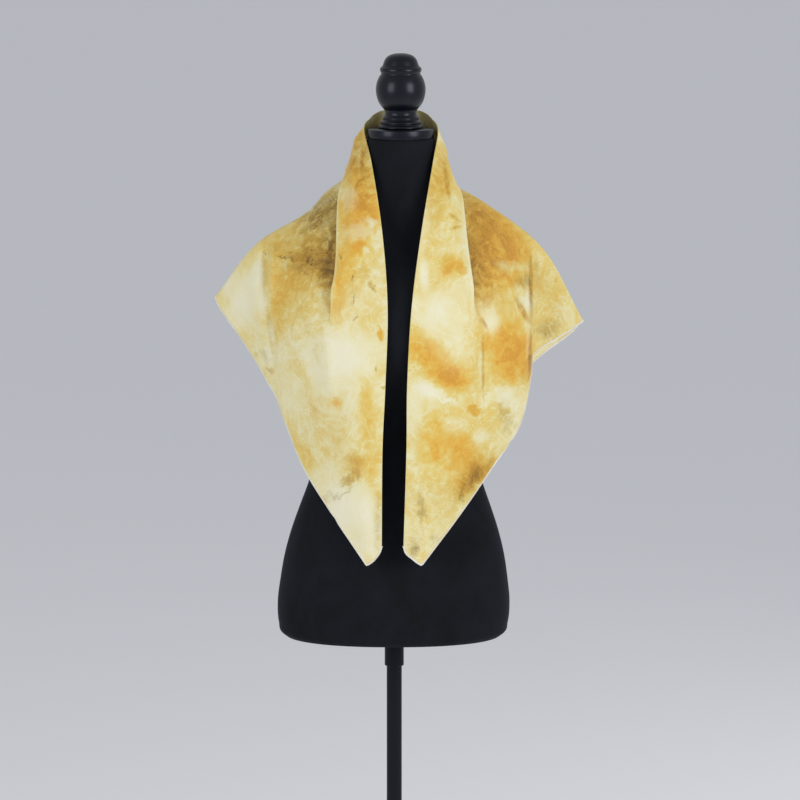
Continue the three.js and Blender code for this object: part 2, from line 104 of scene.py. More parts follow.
# Rails: place along the hem, x, y, z. The back's x is counted from the neck's middle.
RAILS = {
    "fold_edge": {
        "left": [(0, -17, -125, 868), (90, -16, -126, 999), (170, -12, -127, 1088), (250, -9, -122, 1192),
                 (330, -17, -84, 1296), (400, -31, -42, 1381), (465, -41, 0, 1420)],
        "back": [(560, 41, 24, 1436), (680, 30, 43, 1443), (820, 15, 57, 1445), (1000, 0, 64, 1446)],
        "right": [(0, 13, -125, 868), (90, 17, -126, 999), (170, 18, -127, 1088), (250, 24, -122, 1192),
                  (330, 38, -84, 1296), (400, 53, -42, 1381), (465, 60, 0, 1419)],
    },
    "lapel_crease": {
        "left": [(0, -21, -126, 857), (90, -34, -127, 975), (170, -46, -128, 1052), (250, -72, -119, 1126),
                 (290, -87, -109, 1178), (330, -76, -92, 1226), (400, -70, -40, 1316), (465, -61, 0, 1358)],
        "back": [(600, 60, 48, 1350), (780, 35, 68, 1360), (1000, 0, 74, 1368)],
        "right": [(0, 17, -126, 857), (90, 36, -127, 975), (170, 50, -128, 1052), (250, 92, -118, 1126),
                  (290, 110, -104, 1180), (330, 101, -90, 1224), (400, 87, -40, 1316), (465, 78, 0, 1345)],
    },
    "shoulder": {
        "left": [(0, -26, -126, 850), (90, -52, -122, 950), (170, -76, -116, 1020), (250, -96, -106, 1084),
                 (330, -124, -88, 1178), (400, -128, -32, 1276), (465, -121, 5, 1306)],
        "back": [(600, 112, 68, 1268), (780, 62, 96, 1242), (1000, 0, 102, 1262)],
        "right": [(0, 25, -126, 850), (90, 58, -122, 950), (170, 84, -116, 1020), (250, 122, -102, 1100),
                  (330, 148, -82, 1190), (368, 147, -51, 1254), (415, 137, -22, 1294), (465, 129, 0, 1317)],
    },
    "arm_line": {
        "left": [(0, -31, -126, 845), (90, -70, -112, 928), (170, -102, -94, 992), (250, -126, -74, 1052),
                 (330, -158, -52, 1134), (400, -184, -12, 1228), (465, -181, 15, 1270)],
        "back": [(540, 180, 70, 1224), (700, 118, 100, 1118), (860, 58, 109, 1040), (1000, 0, 112, 1014)],
        "right": [(0, 31, -126, 845), (90, 76, -112, 928), (170, 112, -96, 992), (250, 156, -74, 1060),
                  (330, 187, -44, 1150), (368, 189, -6, 1212), (415, 192, 4, 1252), (465, 194, 13, 1268)],
    },
    "hem": {
        "left": [(0, -37, -125, 841), (90, -85, -100, 909), (170, -123, -70, 966), (250, -149, -35, 1023),
                 (330, -178, 0, 1082), (400, -212, 32, 1132), (448, -243, 52, 1174), (465, -248, 60, 1185),
                 (482, -243, 69, 1184)],
        "back": [(560, 188, 95, 1104), (630, 166, 101, 1034), (700, 138, 107, 968), (760, 110, 111, 916),
                 (980, 12, 116, 764), (1000, 0, 117, 750)],
        "right": [(0, 37, -125, 841), (90, 90, -100, 908), (170, 134, -75, 968), (250, 172, -45, 1022),
                  (330, 188, -25, 1091), (368, 192, 5, 1112), (415, 227, 32, 1132), (448, 254, 52, 1147),
                  (465, 262, 60, 1152), (482, 255, 70, 1152)],
    },
}

# Depth of the pleat beside each lapel: place along the hem, left, right
PLEAT = np.array([
    (270, 0, 0), (300, 5, 4), (330, 14, 12), (400, 30, 28), (465, 36, 34), (600, 24, 24), (760, 0, 0),
], float)

# How far the ridge beside the collar stands over the cloth: place along the hem, left, right
RIDGE = np.array([(300, 0, 0), (400, 3, 1), (465, 6.5, 2), (560, 4, 2), (760, 0, 0)], float)


def slopes_of(keys, values):
    """Slope at each row of a smooth curve through rows; keys (..., n), values (..., n, k)."""
    step = np.diff(keys, axis=-1)[..., None]
    rise = np.diff(values, axis=-2) / step
    before, after = step[..., :-1, :], step[..., 1:, :]
    inner = (rise[..., :-1, :] * after + rise[..., 1:, :] * before) / (before + after)
    return np.concatenate([rise[..., :1, :], inner, rise[..., -1:, :]], axis=-2)


def hermite(w, span, p0, p1, m0, m1):
    """Point at share w of a span between two rows, with the slope at each."""
    w2, w3 = w * w, w * w * w
    return ((2 * w3 - 3 * w2 + 1) * p0 + (w3 - 2 * w2 + w) * m0 * span
            + (3 * w2 - 2 * w3) * p1 + (w3 - w2) * m1 * span)


def curve(rows, at):
    """Columns 1.. of a table on a smooth curve over column 0."""
    rows = np.asarray(rows, float)
    keys, values = rows[:, 0], rows[:, 1:]
    slopes = slopes_of(keys, values)
    at = np.asarray(at, float)
    i = np.clip(np.searchsorted(keys, at, side="right") - 1, 0, len(keys) - 2)
    span = keys[i + 1] - keys[i]
    w = np.clip((at - keys[i]) / span, 0, 1)
    return hermite(w[..., None], span[..., None], values[i], values[i + 1], slopes[i], slopes[i + 1])


def smooth(x, a, b):
    """0 at a and beyond it, 1 at b and beyond it, with a soft start and end."""
    t = np.clip((x - a) / (b - a), 0, 1)
    return t * t * (3 - 2 * t)


def axis_x(z):
    """The middle of the torso at a level."""
    return LOW_SHIFT + (NECK_SHIFT - LOW_SHIFT) * (z - TORSO_LOW) / (NECK_TOP - TORSO_LOW)


def torso_field(p):
    """Below 0 inside the torso, 0 on the velvet, above 0 outside it."""
    level = curve(TORSO, np.clip(p[..., 2], TORSO_LOW, NECK_TOP))
    depth = np.where(p[..., 1] < 0, level[..., 1], level[..., 2])
    across = np.abs((p[..., 0] - axis_x(p[..., 2])) / level[..., 0]) ** TORSO_POWER
    through = np.abs(p[..., 1] / depth) ** TORSO_POWER
    return (across + through) ** (1 / TORSO_POWER) - 1


def clear_of_torso(points, clearance):
    """The points, moved out of the torso until they have their clearance, with a soft start."""
    p = points.copy()
    step, soft, deep, longest = 0.5, 1.2, 20.0, 15.0
    busy = np.ones(p.shape[:-1], bool)
    for _ in range(8):
        q = p[busy]
        if not len(q):
            break
        gradient = np.empty_like(q)
        for axis in range(3):
            d = np.zeros(3)
            d[axis] = step
            gradient[:, axis] = (torso_field(q + d) - torso_field(q - d)) / (2 * step)
        size = np.linalg.norm(gradient, axis=1)
        lack = clearance - torso_field(q) / size
        push = np.where(lack > deep, lack, soft * np.log1p(np.exp(np.minimum(lack, deep) / soft)))
        p[busy] = q + gradient * (np.minimum(push, longest) / size)[:, None]
        index = np.argwhere(busy)
        busy[tuple(index[lack < 0].T)] = False
    return p


def whole_rail(rail):
    """One rail over the whole scarf, from the left front corner over the back to the right."""
    middle = axis_x(NECK_TOP)
    left_back = [(h, middle - x, y, z) for h, x, y, z in rail["back"]]
    right_back = [(h, middle + x, y, z) for h, x, y, z in rail["back"][:-1]]
    right = [(2 * SQUARE_SIDE - h, x, y, z) for h, x, y, z in rail["right"] + right_back]
    return np.array(rail["left"] + left_back + right[::-1], float)


WHOLE_RAILS = [whole_rail(RAILS[k]) for k in ("fold_edge", "lapel_crease", "shoulder", "arm_line", "hem")]


def ribs(at):
    """(points, run, slopes) of the ribs at these places, each rib with its five rail points."""
    points = np.stack([curve(rail, at) for rail in WHOLE_RAILS], axis=1)
    steps = np.linalg.norm(np.diff(points, axis=1), axis=2)
    run = np.concatenate([np.zeros((len(points), 1)), np.cumsum(steps, axis=1)], axis=1)
    return points, run, slopes_of(run, points)


def on_ribs(rib, u):
    """Points on ribs; u (rows, columns) is 0 at the fold edge, 1 at the lapel crease, 4 at the hem."""
    points, run, slopes = rib
    i = np.clip(np.floor(u).astype(int), 0, 3)
    rows = np.arange(len(points))[:, None]
    span = (run[rows, i + 1] - run[rows, i])[..., None]
    w = np.clip(u - i, 0, 1)[..., None]
    return hermite(w, span, points[rows, i], points[rows, i + 1], slopes[rows, i], slopes[rows, i + 1])


def unit(v):
    return v / np.maximum(np.linalg.norm(v, axis=-1, keepdims=True), 1e-9)


def cloth_normals(at, u):
    """Outward normals of the cloth before it is pleated."""
    ahead, behind = ribs(np.minimum(at + 4, 2 * SQUARE_SIDE)), ribs(np.maximum(at - 4, 0))
    here = ribs(at)
    lengthwise = on_ribs(ahead, u) - on_ribs(behind, u)
    crosswise = on_ribs(here, np.minimum(u + 0.06, 4)) - on_ribs(here, np.maximum(u - 0.06, 0))
    return unit(np.cross(lengthwise, crosswise))


def side_value(rows, at):
    """A table's value on the side of each rib, and nothing outside its rows."""
    from_corner = np.where(at <= SQUARE_SIDE, at, 2 * SQUARE_SIDE - at)
    value = curve(rows, np.clip(from_corner, rows[0, 0], rows[-1, 0]))
    side = np.where(at <= SQUARE_SIDE, value[:, 0], value[:, 1])
    inside = (from_corner > rows[0, 0]) & (from_corner < rows[-1, 0])
    return np.where(inside, np.maximum(side, 0), 0)


def pleat_path(depth, count):
    """The S of the pleat with this many points: along the rib, above the cloth, and where it lies faded."""
    half, pitch = LAYER_PITCH / 2, LAYER_PITCH
    knots = np.array([
        (-half, 0, 2), (half * 0.4, 0, 1.75), (half * 0.8, 0, 1.4), (-half, 0, 1), (0, -0.4, 1), (0, -0.7, 1),
        (0, -1, 1), (-half, -1, 0.6), (-half * 0.7, -1, 0.15), (half, -1, 0), (0, -0.5, 0), (0, 0, 0),
        (PLEAT_FLAT, 0, 0),
    ], float)
    along = knots[None, :, 0] + knots[None, :, 1] * depth[:, None]
    above = np.repeat(knots[None, :, 2] * pitch, len(depth), axis=0)
    steps = np.hypot(np.diff(along, axis=1), np.diff(above, axis=1))
    run = np.concatenate([np.zeros((len(depth), 1)), np.cumsum(steps, axis=1)], axis=1)
    share = np.linspace(0, 1, count)
    out_along, out_above = np.empty((len(depth), count)), np.empty((len(depth), count))
    for r in range(len(depth)):
        rows = np.stack([run[r] / run[r, -1], along[r], above[r]], axis=1)
        got = curve(rows, share)
        out_along[r], out_above[r] = got[:, 0], got[:, 1]
    return out_along, out_above, np.linspace(-PLEAT_FLAT, PLEAT_FLAT, count)


def middle_surface(at, columns):
    """Grid (rows, columns, 3) of the middle of the folded silk, its normals, and three guides: two for the
    dye, one for painted crease shade and highlight.
    """
    rib = ribs(at)
    lapel_width = rib[1][:, 1]
    next_width = rib[1][:, 2] - rib[1][:, 1]
    depth = side_value(PLEAT, at)
    form = smooth(depth, 0, PLEAT_FULL)
    faded_span = np.minimum(1, lapel_width / PLEAT_ROOM)
    along, above, faded = pleat_path(np.maximum(depth, 0.5), columns["pleat"])
    along = faded[None] * faded_span[:, None] * (1 - form[:, None]) + along * form[:, None]
    width = np.where(along < 0, lapel_width[:, None], next_width[:, None])
    pleat_u = 1 + along / width
    above = above * form[:, None]
    lapel_u = pleat_u[:, :1] * np.linspace(0, 1, columns["lapel"], endpoint=False)[None]
    room = np.maximum(1, lapel_width - depth - LAPEL_EASE)
    rise = smooth(lapel_u * lapel_width[:, None] / room[:, None], 0, 1)
    lapel_above = 2 * LAYER_PITCH * form[:, None] * rise
    last_u = pleat_u[:, -1:]
    t = np.linspace(0, 1, columns["shoulder"] + 1)[1:][None]
    shoulder_u = last_u + (2 - last_u) * t
    side_u = np.repeat(np.linspace(2, 3, columns["side"] + 1)[1:][None], len(at), axis=0)
    hem_u = np.repeat(np.linspace(3, 4, columns["hem"] + 1)[1:][None], len(at), axis=0)
    u = np.concatenate([lapel_u, pleat_u, shoulder_u, side_u, hem_u], axis=1)
    flat_part = np.zeros((len(at), shoulder_u.shape[1] + side_u.shape[1] + hem_u.shape[1]))
    lift = np.concatenate([lapel_above, above, flat_part], axis=1)
    from_corner = np.where(at <= SQUARE_SIDE, at, 2 * SQUARE_SIDE - at)
    lift *= 1 + SWELL * (smooth(from_corner, *SWELL_LOW) * smooth(from_corner, *SWELL_HIGH))[:, None]
    lift += np.where((u > 1) & (u < 2), np.sin(math.pi * (u - 1)) ** 2, 0) * side_value(RIDGE, at)[:, None]
    base_normals = cloth_normals(at, u)
    points = on_ribs(rib, u) + base_normals * lift[..., None]
    hidden = columns["lapel"] + columns["pleat"] // 2
    column = np.arange(u.shape[1])[None]
    on_lapel = np.where(column < hidden, 1.0, 1 - form[:, None])
    on_body = np.where(column < hidden, 1 - form[:, None], 1.0)
    # Painted shade on the cloth just beyond the lapel's crease, and a painted highlight along the lapel's
    # folded edge
    top_edge = (column >= columns["lapel"]) & (column <= columns["lapel"] + 4)
    beyond = np.maximum(u - 1, 0) * next_width[:, None]
    crease_shading = form[:, None] * np.where(column < hidden, top_edge * -1.0, np.exp(-beyond / 13))
    return points, base_normals, (on_lapel, on_body, crease_shading)


def grid_normals(grid):
    """Outward normals of a grid, by its own neighbours."""
    down = np.gradient(grid, axis=0)
    across = np.gradient(grid, axis=1)
    return unit(np.cross(down, across))


# Soft folds and creases: the side they are on, both ends as x and z, half width, height; a minus is a trough
FOLDS = [
    ("front", -178, 1266, -178, 1178, 5, -7.5), ("front", -167, 1266, -168, 1180, 6, 4.0),
    ("front", -177, 1188, -163, 1086, 5, -5.5),
    ("front", -166, 1078, -160, 1020, 7, -2.5), ("front", -186, 1235, -190, 1150, 9, 2.5),
    ("front", 158, 1178, 183, 1142, 4, -2.0), ("front", 142, 1018, 163, 994, 4, -1.8),
    ("front", 118, 1046, 123, 1030, 3, -1.6), ("front", -93, 893, -58, 916, 5, -1.5),
    ("front", -92, 1168, -84, 1060, 10, 2.5), ("front", 108, 1166, 100, 1070, 10, 2.5),
    ("front", 60, 1110, 92, 985, 14, -2.0), ("front", -70, 1090, -96, 980, 14, -2.0),
    ("front", -130, 1190, -104, 1080, 9, -2.0), ("front", 150, 1110, 128, 1020, 8, 2.0),
    ("front", 214, 1210, 226, 1150, 8, -2.5), ("front", -214, 1205, -226, 1178, 7, 2.0),
    ("front", -43, 1418, -46, 1366, 4, -2.2), ("front", 64, 1398, 80, 1350, 4, -2.4),
    ("front", -173, 1172, -163, 1108, 6, -2.2), ("front", 163, 1203, 191, 1152, 4, -3.6),
    ("front", 114, 1182, 130, 1156, 2.5, -1.2), ("front", 136, 1057, 162, 1020, 3.5, -1.8),
    ("front", 119, 1087, 127, 1066, 3, -1.6), ("front", -93, 920, -57, 953, 4, -1.4),
    ("front", -58, 952, -45, 972, 4, -1.2), ("front", 193, 1264, 195, 1170, 4, -5.5),
    ("front", 192, 1180, 187, 1112, 5, -2.6), ("front", 182, 1256, 184, 1165, 6, 3.2),
    ("back", 9, 1322, 4, 850, 15, 6.0), ("back", -36, 1330, -74, 960, 15, -8.2),
    ("back", 54, 1330, 88, 955, 15, -8.2), ("back", -70, 1290, -118, 1020, 13, 7.5),
    ("back", 90, 1290, 134, 1015, 13, 7.5), ("back", -112, 1262, -150, 1090, 11, -7.5),
    ("back", 130, 1262, 168, 1085, 11, -7.5), ("back", -22, 1240, -40, 860, 11, 4.5),
    ("back", 42, 1235, 58, 870, 11, 4.5), ("back", -150, 1240, -196, 1140, 9, 4.5),
    ("back", 170, 1236, 212, 1132, 9, 4.5), ("back", -60, 1272, 78, 1268, 12, -4.5),
]

# How far the inner layer's hem lies beyond the outer one's: place along the hem, left, right
INNER_REACH = np.array([
    (0, -30, -30), (250, -31, -24), (340, -31, -4), (368, -30, 10), (407, -30, 7), (446, -28, 2),
    (470, -26, -8), (560, -24, -20), (1000, -30, -30),
], float)

# Columns of the cloth's grid across each stretch, and its step along the hem
COLUMNS = {"lapel": 24, "pleat": 30, "shoulder": 20, "side": 22, "hem": 24}
INNER_COLUMNS = 60
FRONT_STEP, BACK_STEP = 5.0, 6.0


def folded(grid, normals):
    """The grid with the soft folds of FOLDS raised or sunk along its normals."""
    height = np.zeros(grid.shape[:2])
    x, y, z = grid[..., 0], grid[..., 1], grid[..., 2]
    at_back = smooth(y, 25, 60)
    for side, x0, z0, x1, z1, width, rise in FOLDS:
        length = math.hypot(x1 - x0, z1 - z0)
        t = ((x - x0) * (x1 - x0) + (z - z0) * (z1 - z0)) / length**2
        off = np.hypot(x - x0 - np.clip(t, 0, 1) * (x1 - x0), z - z0 - np.clip(t, 0, 1) * (z1 - z0))
        fade = smooth(t, -0.05, 0.3) * smooth(t, 1.05, 0.7)
        share = at_back if side == "back" else 1 - at_back
        height += rise * np.exp(-((off / width) ** 2)) * fade * share
    return grid + normals * height[..., None]


def resampled(grid, normals, reach, count):
    """Each row of the grid cut or lengthened by reach, with count points."""
    steps = np.linalg.norm(np.diff(grid, axis=1), axis=2)
    run = np.concatenate([np.zeros((len(grid), 1)), np.cumsum(steps, axis=1)], axis=1)
    points, directions = np.empty((len(grid), count, 3)), np.empty((len(grid), count, 3))
    for r in range(len(grid)):
        whole = max(LEAST_LAYER, run[r, -1] + reach[r])
        s = np.linspace(0, 1, count) * whole
        for axis in range(3):
            points[r, :, axis] = np.interp(s, run[r], grid[r, :, axis])
            directions[r, :, axis] = np.interp(s, run[r], normals[r, :, axis])
        beyond = np.maximum(s - run[r, -1], 0)
        outward = unit(grid[r, -1] - grid[r, -3])
        points[r] += outward * beyond[:, None]
    return points, unit(directions)


def silk_layers():
    """Outer grid, inner grid, round of the fold, normals of both grids and the guides of the dye and of the
    painted crease shade.
    """
    front = np.linspace(0, SHOULDER_LINE, round(SHOULDER_LINE / FRONT_STEP) + 1)
    back = np.linspace(SHOULDER_LINE, SQUARE_SIDE, round((SQUARE_SIDE - SHOULDER_LINE) / BACK_STEP) + 1)
    half = np.concatenate([front, back[1:]])
    at = np.concatenate([half, (2 * SQUARE_SIDE - half[:-1])[::-1]])
    grid, base, guides = middle_surface(at, COLUMNS)
    grid = folded(grid, base)
    grid = clear_of_torso(grid, BODY_CLEAR + CLOTH_WALL / 2)
    normals = grid_normals(grid)
    outer = grid + normals * LAYER_HALF
    place = np.where(at <= SQUARE_SIDE, at, 2 * SQUARE_SIDE - at)
    reach = curve(INNER_REACH, place)
    reach = np.where(at <= SQUARE_SIDE, reach[:, 0], reach[:, 1])
    inner_middle, inner_normals = resampled(grid, normals, reach, INNER_COLUMNS)
    inner = inner_middle - inner_normals * LAYER_HALF
    off_edge = unit(grid[:, 0] - grid[:, 1])
    fold = [grid[:, 0] + (normals[:, 0] * math.cos(a) + off_edge * math.sin(a)) * LAYER_HALF
            for a in (math.pi * 0.75, math.pi * 0.5, math.pi * 0.25)]
    return outer, inner, np.stack(fold, axis=1), normals, inner_normals, guides


def mesh_object(name, points, faces, material):
    """A smooth mesh in metres from points in millimetres."""
    mesh = bpy.data.meshes.new(name)
    mesh.from_pydata((np.asarray(points).reshape(-1, 3) * 0.001).tolist(), [], faces)
    mesh.polygons.foreach_set("use_smooth", [True] * len(mesh.polygons))
    mesh.materials.append(material)
    mesh.update()
    made = bpy.data.objects.new(name, mesh)
    bpy.context.scene.collection.objects.link(made)
    return made


def grid_faces(rows, columns, wrap=False):
    i, j = np.meshgrid(np.arange(rows - 1), np.arange(columns if wrap else columns - 1), indexing="ij")
    k = (j + 1) % columns
    return np.stack([i * columns + j, (i + 1) * columns + j, (i + 1) * columns + k, i * columns + k],
                    axis=-1).reshape(-1, 4).tolist()


def add_value(thing, name, values):
    """A number for each point of a mesh, which a material can read."""
    attribute = thing.data.attributes.new(name, "FLOAT", "POINT")
    attribute.data.foreach_set("value", np.asarray(values, np.float32).ravel())


def linear(r, g, b):
    """A colour given as a screen shows it, 0 to 255, in the shader's own scale."""
    shares = (r / 255, g / 255, b / 255)
    return tuple((c / 12.92 if c <= 0.04045 else ((c + 0.055) / 1.055) ** 2.4) for c in shares) + (1.0,)


class Nodes:
    """Short names for making and joining the nodes of one material."""

    def __init__(self, name):
        self.material = bpy.data.materials.new(name)
        self.material.use_nodes = True
        self.tree = self.material.node_tree
        self.shader = self.tree.nodes["Principled BSDF"]

    def node(self, kind, inputs=(), **settings):
        made = self.tree.nodes.new(kind)
        for key, value in settings.items():
            setattr(made, key, value)
        for key, value in dict(inputs).items():
            self.put(made.inputs[key], value)
        return made

    def put(self, socket, value):
        if isinstance(value, bpy.types.NodeSocket):
            self.tree.links.new(value, socket)
        else:
            socket.default_value = value

    def math(self, operation, a, b=0.0, c=0.0, clamp=False):
        made = self.node("ShaderNodeMath", {0: a, 1: b, 2: c}, operation=operation, use_clamp=clamp)
        return made.outputs[0]

    def vector(self, operation, a, b=(0, 0, 0), c=(0, 0, 0), scale=None):
        made = self.node("ShaderNodeVectorMath", {0: a, 1: b, 2: c}, operation=operation)
        if scale is not None:
            self.put(made.inputs["Scale"], scale)
        return made.outputs["Vector"]

    def noise(self, vector, scale, detail=3.0, roughness=0.5, distortion=0.0, output="Fac"):
        return self.node("ShaderNodeTexNoise", {
            "Vector": vector, "Scale": scale, "Detail": detail, "Roughness": roughness,
            "Distortion": distortion}).outputs[output]

    def remap(self, value, low, high, to_low=0.0, to_high=1.0, kind="SMOOTHSTEP"):
        return self.node("ShaderNodeMapRange", {
            "Value": value, "From Min": low, "From Max": high, "To Min": to_low, "To Max": to_high},
            interpolation_type=kind).outputs["Result"]

    def mix(self, share, a, b):
        made = self.node("ShaderNodeMix", data_type="RGBA")
        self.put(made.inputs["Factor"], share)
        self.put(made.inputs[6], a)
        self.put(made.inputs[7], b)
        return made.outputs[2]

    def ramp(self, value, stops):
        made = self.node("ShaderNodeValToRGB", {"Fac": value})
        points = made.color_ramp.elements
        points[0].position, points[0].color = stops[0]
        points[1].position, points[1].color = stops[-1]
        for place, colour in stops[1:-1]:
            points.new(place).color = colour
        return made.outputs["Color"]

    def attribute(self, name):
        return self.node("ShaderNodeAttribute", attribute_name=name).outputs["Fac"]

    def bump(self, height, distance, strength=1.0):
        self.put(self.shader.inputs["Normal"], self.node("ShaderNodeBump", {
            "Height": height, "Distance": distance, "Strength": strength}).outputs["Normal"])


# Broad dye, with a few washes of painted shade beside the lapel creases, worked out for each point of the
# cloth:
# middle as x and z, half length, half width, turn in degrees, then how much amber, umber and pale it adds.
# First the lapels, inside their creases
LAPEL_WASHES = [
    (-46, 1384, 69, 28, -82, 0.08, 0.05, 0), (-45, 1384, 55, 19, -85, 0, 0.12, 0),
    (-49, 1377, 69, 22, -82, 0.30, 0.10, 0), (-25, 1320, 28, 8, -85, 0.25, 0, 0),
    (-49, 1312, 48, 28, 85, 0.20, 0.02, 0), (-56, 1312, 62, 36, 88, 0.10, 0.02, 0),
    (-57, 1312, 28, 14, -85, 0.07, 0.02, 0), (-43, 1287, 55, 30, -90, 0.14, 0.02, -0.05),
    (-60, 1221, 33, 12, -88, 0.08, 0.03, 0), (-60, 1215, 62, 34, 88, 0.10, 0.01, 0),
    (-76, 1208, 48, 12, 87, 0.25, 0.02, 0), (-57, 1202, 22, 12, 85, -0.06, 0, 0.08),
    (56, 1358, 83, 25, 80, 0.10, 0, 0), (62, 1358, 69, 30, 80, 0.10, 0.03, 0),
    (58, 1358, 62, 19, 83, 0, 0.10, 0), (36, 1296, 55, 14, 83, -0.10, 0, 0.20),
    (82, 1247, 21, 15, 0, 0.24, 0.03, 0), (40, 1235, 19, 7, 88, -0.20, 0, 0.45),
    (69, 1221, 55, 36, 85, 0.06, 0, 0), (76, 1201, 55, 34, 0, -0.05, 0, 0.15),
]
FRONT_WASHES = [
    (-95, 1317, 39, 18, 40, 0.05, 0.42, 0), (-122, 1271, 62, 36, 30, 0.12, 0.16, 0),
    (-94, 1264, 83, 55, 50, 0.10, 0.06, 0), (-88, 1254, 52, 15, 83, 0.08, 0.26, 0),
    (-106, 1248, 36, 25, 0, 0.08, 0.22, 0), (-188, 1227, 19, 8, 80, -0.12, 0, 0.45),
    (-128, 1217, 48, 34, 0, 0.14, 0.05, 0), (-160, 1193, 62, 11, 88, 0.22, 0.05, 0),
    (-206, 1186, 52, 22, 60, -0.12, 0, 0.22), (-213, 1185, 50, 30, 60, -0.05, 0, 0.15),
    (-128, 1197, 83, 41, -90, 0.05, 0, 0), (-180, 1184, 17, 7, -90, -0.10, 0, 0.40),
    (-213, 1178, 62, 39, 70, -0.04, 0, 0.08), (-30, 1184, 19, 15, 0, 0.16, 0, 0),
    (-59, 1175, 62, 36, 80, 0, 0, 0.15), (-128, 1158, 48, 55, 0, 0.05, 0.04, 0),
    (-170, 1141, 25, 5, 80, -0.10, 0, 0.40), (-199, 1130, 34, 19, -60, 0.05, 0, 0.05),
    (-66, 1128, 44, 34, 0, -0.22, 0, 0.30), (-114, 1090, 83, 62, -60, -0.05, 0, 0.12),
    (-101, 1071, 41, 34, -60, 0.05, 0.02, 0.05), (-39, 1068, 36, 14, -90, 0.18, 0, 0),
    (-79, 1062, 10, 8, 0, 0.20, 0, 0), (-31, 1017, 50, 15, -90, 0.22, 0.02, 0),
    (-87, 1010, 52, 39, -60, 0.14, 0.04, 0), (-87, 1010, 69, 41, -60, -0.03, 0, 0.10),
    (-119, 984, 22, 12, -65, 0.16, 0, 0), (-54, 974, 25, 14, 70, 0.20, 0.08, 0),
    (-33, 972, 34, 14, -90, 0.12, 0, 0), (-67, 928, 55, 39, -60, -0.08, 0, 0.16),
    (-37, 919, 25, 8, -88, -0.12, 0, 0.30), (-71, 914, 28, 22, -60, -0.15, 0, 0.30),
    (-67, 907, 39, 30, -60, -0.08, 0, 0.16), (-22, 903, 41, 6, 89, 0.12, 0.20, 0),
    (-46, 874, 25, 12, -80, 0.05, 0.04, 0.05), (-38, 875, 36, 21, 65, -0.12, 0, 0.34),
    (113, 1312, 39, 19, -42, 0.32, 0.16, 0), (145, 1281, 41, 22, -45, 0.12, 0.03, 0),
    (137, 1275, 62, 39, -42, 0.32, 0.10, 0), (165, 1256, 22, 12, -10, 0.15, 0, 0),
    (151, 1249, 76, 62, -45, 0.16, 0.04, 0), (122, 1235, 50, 19, -80, 0.24, 0.14, 0),
    (158, 1222, 18, 14, 0, 0.16, 0, 0), (222, 1184, 48, 39, -60, 0.12, 0.05, 0),
    (179, 1190, 14, 11, 0, -0.10, 0, 0.30), (119, 1186, 41, 34, -60, 0.14, 0, 0),
    (229, 1170, 55, 41, -60, 0.06, 0.02, 0), (126, 1182, 21, 17, -60, -0.10, -0.02, 0.26),
    (55, 1176, 36, 17, 80, -0.10, 0, 0.20), (133, 1167, 14, 11, -90, -0.20, 0, 0.45),
    (212, 1143, 19, 15, 0, 0.02, 0.20, 0), (144, 1138, 55, 34, -10, 0.20, 0, 0),
    (82, 1142, 36, 28, -70, -0.10, 0, 0.22), (157, 1123, 44, 23, -90, 0.15, 0, 0),
    (158, 1116, 69, 41, -90, 0.12, 0, 0), (62, 1119, 58, 28, -35, 0.20, 0, 0),
    (62, 1115, 69, 44, -35, 0.12, 0, 0), (183, 1098, 21, 11, -90, 0.16, 0.08, 0),
    (76, 1098, 22, 14, -30, 0.18, 0.02, 0), (46, 1079, 19, 10, -20, -0.20, 0, 0.35),
    (154, 1067, 14, 12, 0, -0.20, 0, 0.38), (28, 1040, 48, 10, 89, -0.08, 0, 0.20),
    (82, 1032, 15, 11, 0, -0.15, 0, 0.28), (117, 1012, 12, 12, 0, -0.15, 0, 0.30),
    (76, 1012, 58, 55, 0, 0.16, 0, 0), (69, 1012, 39, 33, 0, 0.10, 0, 0),
    (83, 1011, 76, 69, 0, 0.08, 0, 0), (92, 982, 23, 19, 0, 0.20, 0.02, 0),
    (103, 967, 36, 12, 60, 0.16, 0.10, -0.05), (117, 958, 41, 19, 45, 0.12, 0.10, 0),
    (110, 955, 36, 14, 45, 0.25, 0.18, 0), (49, 930, 52, 33, 0, 0.06, 0.05, 0.05),
    (28, 868, 19, 10, 82, 0, 0.16, 0),
]

# The photo doesn't show the back: dye of the same kinds
BACK_WASHES = [
    (-70, 1230, 60, 34, 30, 0.50, 0.10, 0), (60, 1260, 50, 30, -40, 0.20, 0.30, 0),
    (130, 1200, 50, 30, -50, 0.45, 0.05, 0), (-150, 1180, 50, 26, 60, -0.10, 0, 0.40),
    (10, 1160, 70, 40, 10, -0.20, 0, 0.45), (-60, 1080, 60, 30, 70, 0.35, 0.05, 0),
    (90, 1080, 60, 32, 110, 0.55, 0.05, 0), (20, 1010, 60, 36, 40, -0.10, 0.02, 0.30),
    (-40, 960, 50, 26, 100, 0.20, 0.25, 0), (70, 950, 40, 24, 60, 0.10, 0.05, 0.20),
    (10, 880, 60, 30, 85, 0.45, 0.05, 0), (-10, 800, 40, 24, 90, -0.10, 0.10, 0.30),
    (10, 1400, 40, 26, 0, 0.30, 0.10, 0), (-30, 1330, 40, 20, 70, 0.10, 0, 0.30),
    (60, 1350, 30, 18, 110, 0.30, 0.10, 0), (200, 1180, 40, 20, -60, 0.05, 0.10, 0.15),
    (110, 1150, 34, 12, 60, 0.10, 0.25, 0), (-100, 1140, 30, 14, -70, 0.10, 0.22, 0),
    (-20, 1240, 26, 12, 20, 0.30, 0.15, 0), (40, 1040, 26, 12, -30, 0.25, 0.18, 0),
    (0, 1290, 40, 18, 0, -0.20, 0, 0.40), (-180, 1230, 30, 20, 50, 0.20, 0.15, 0),
]

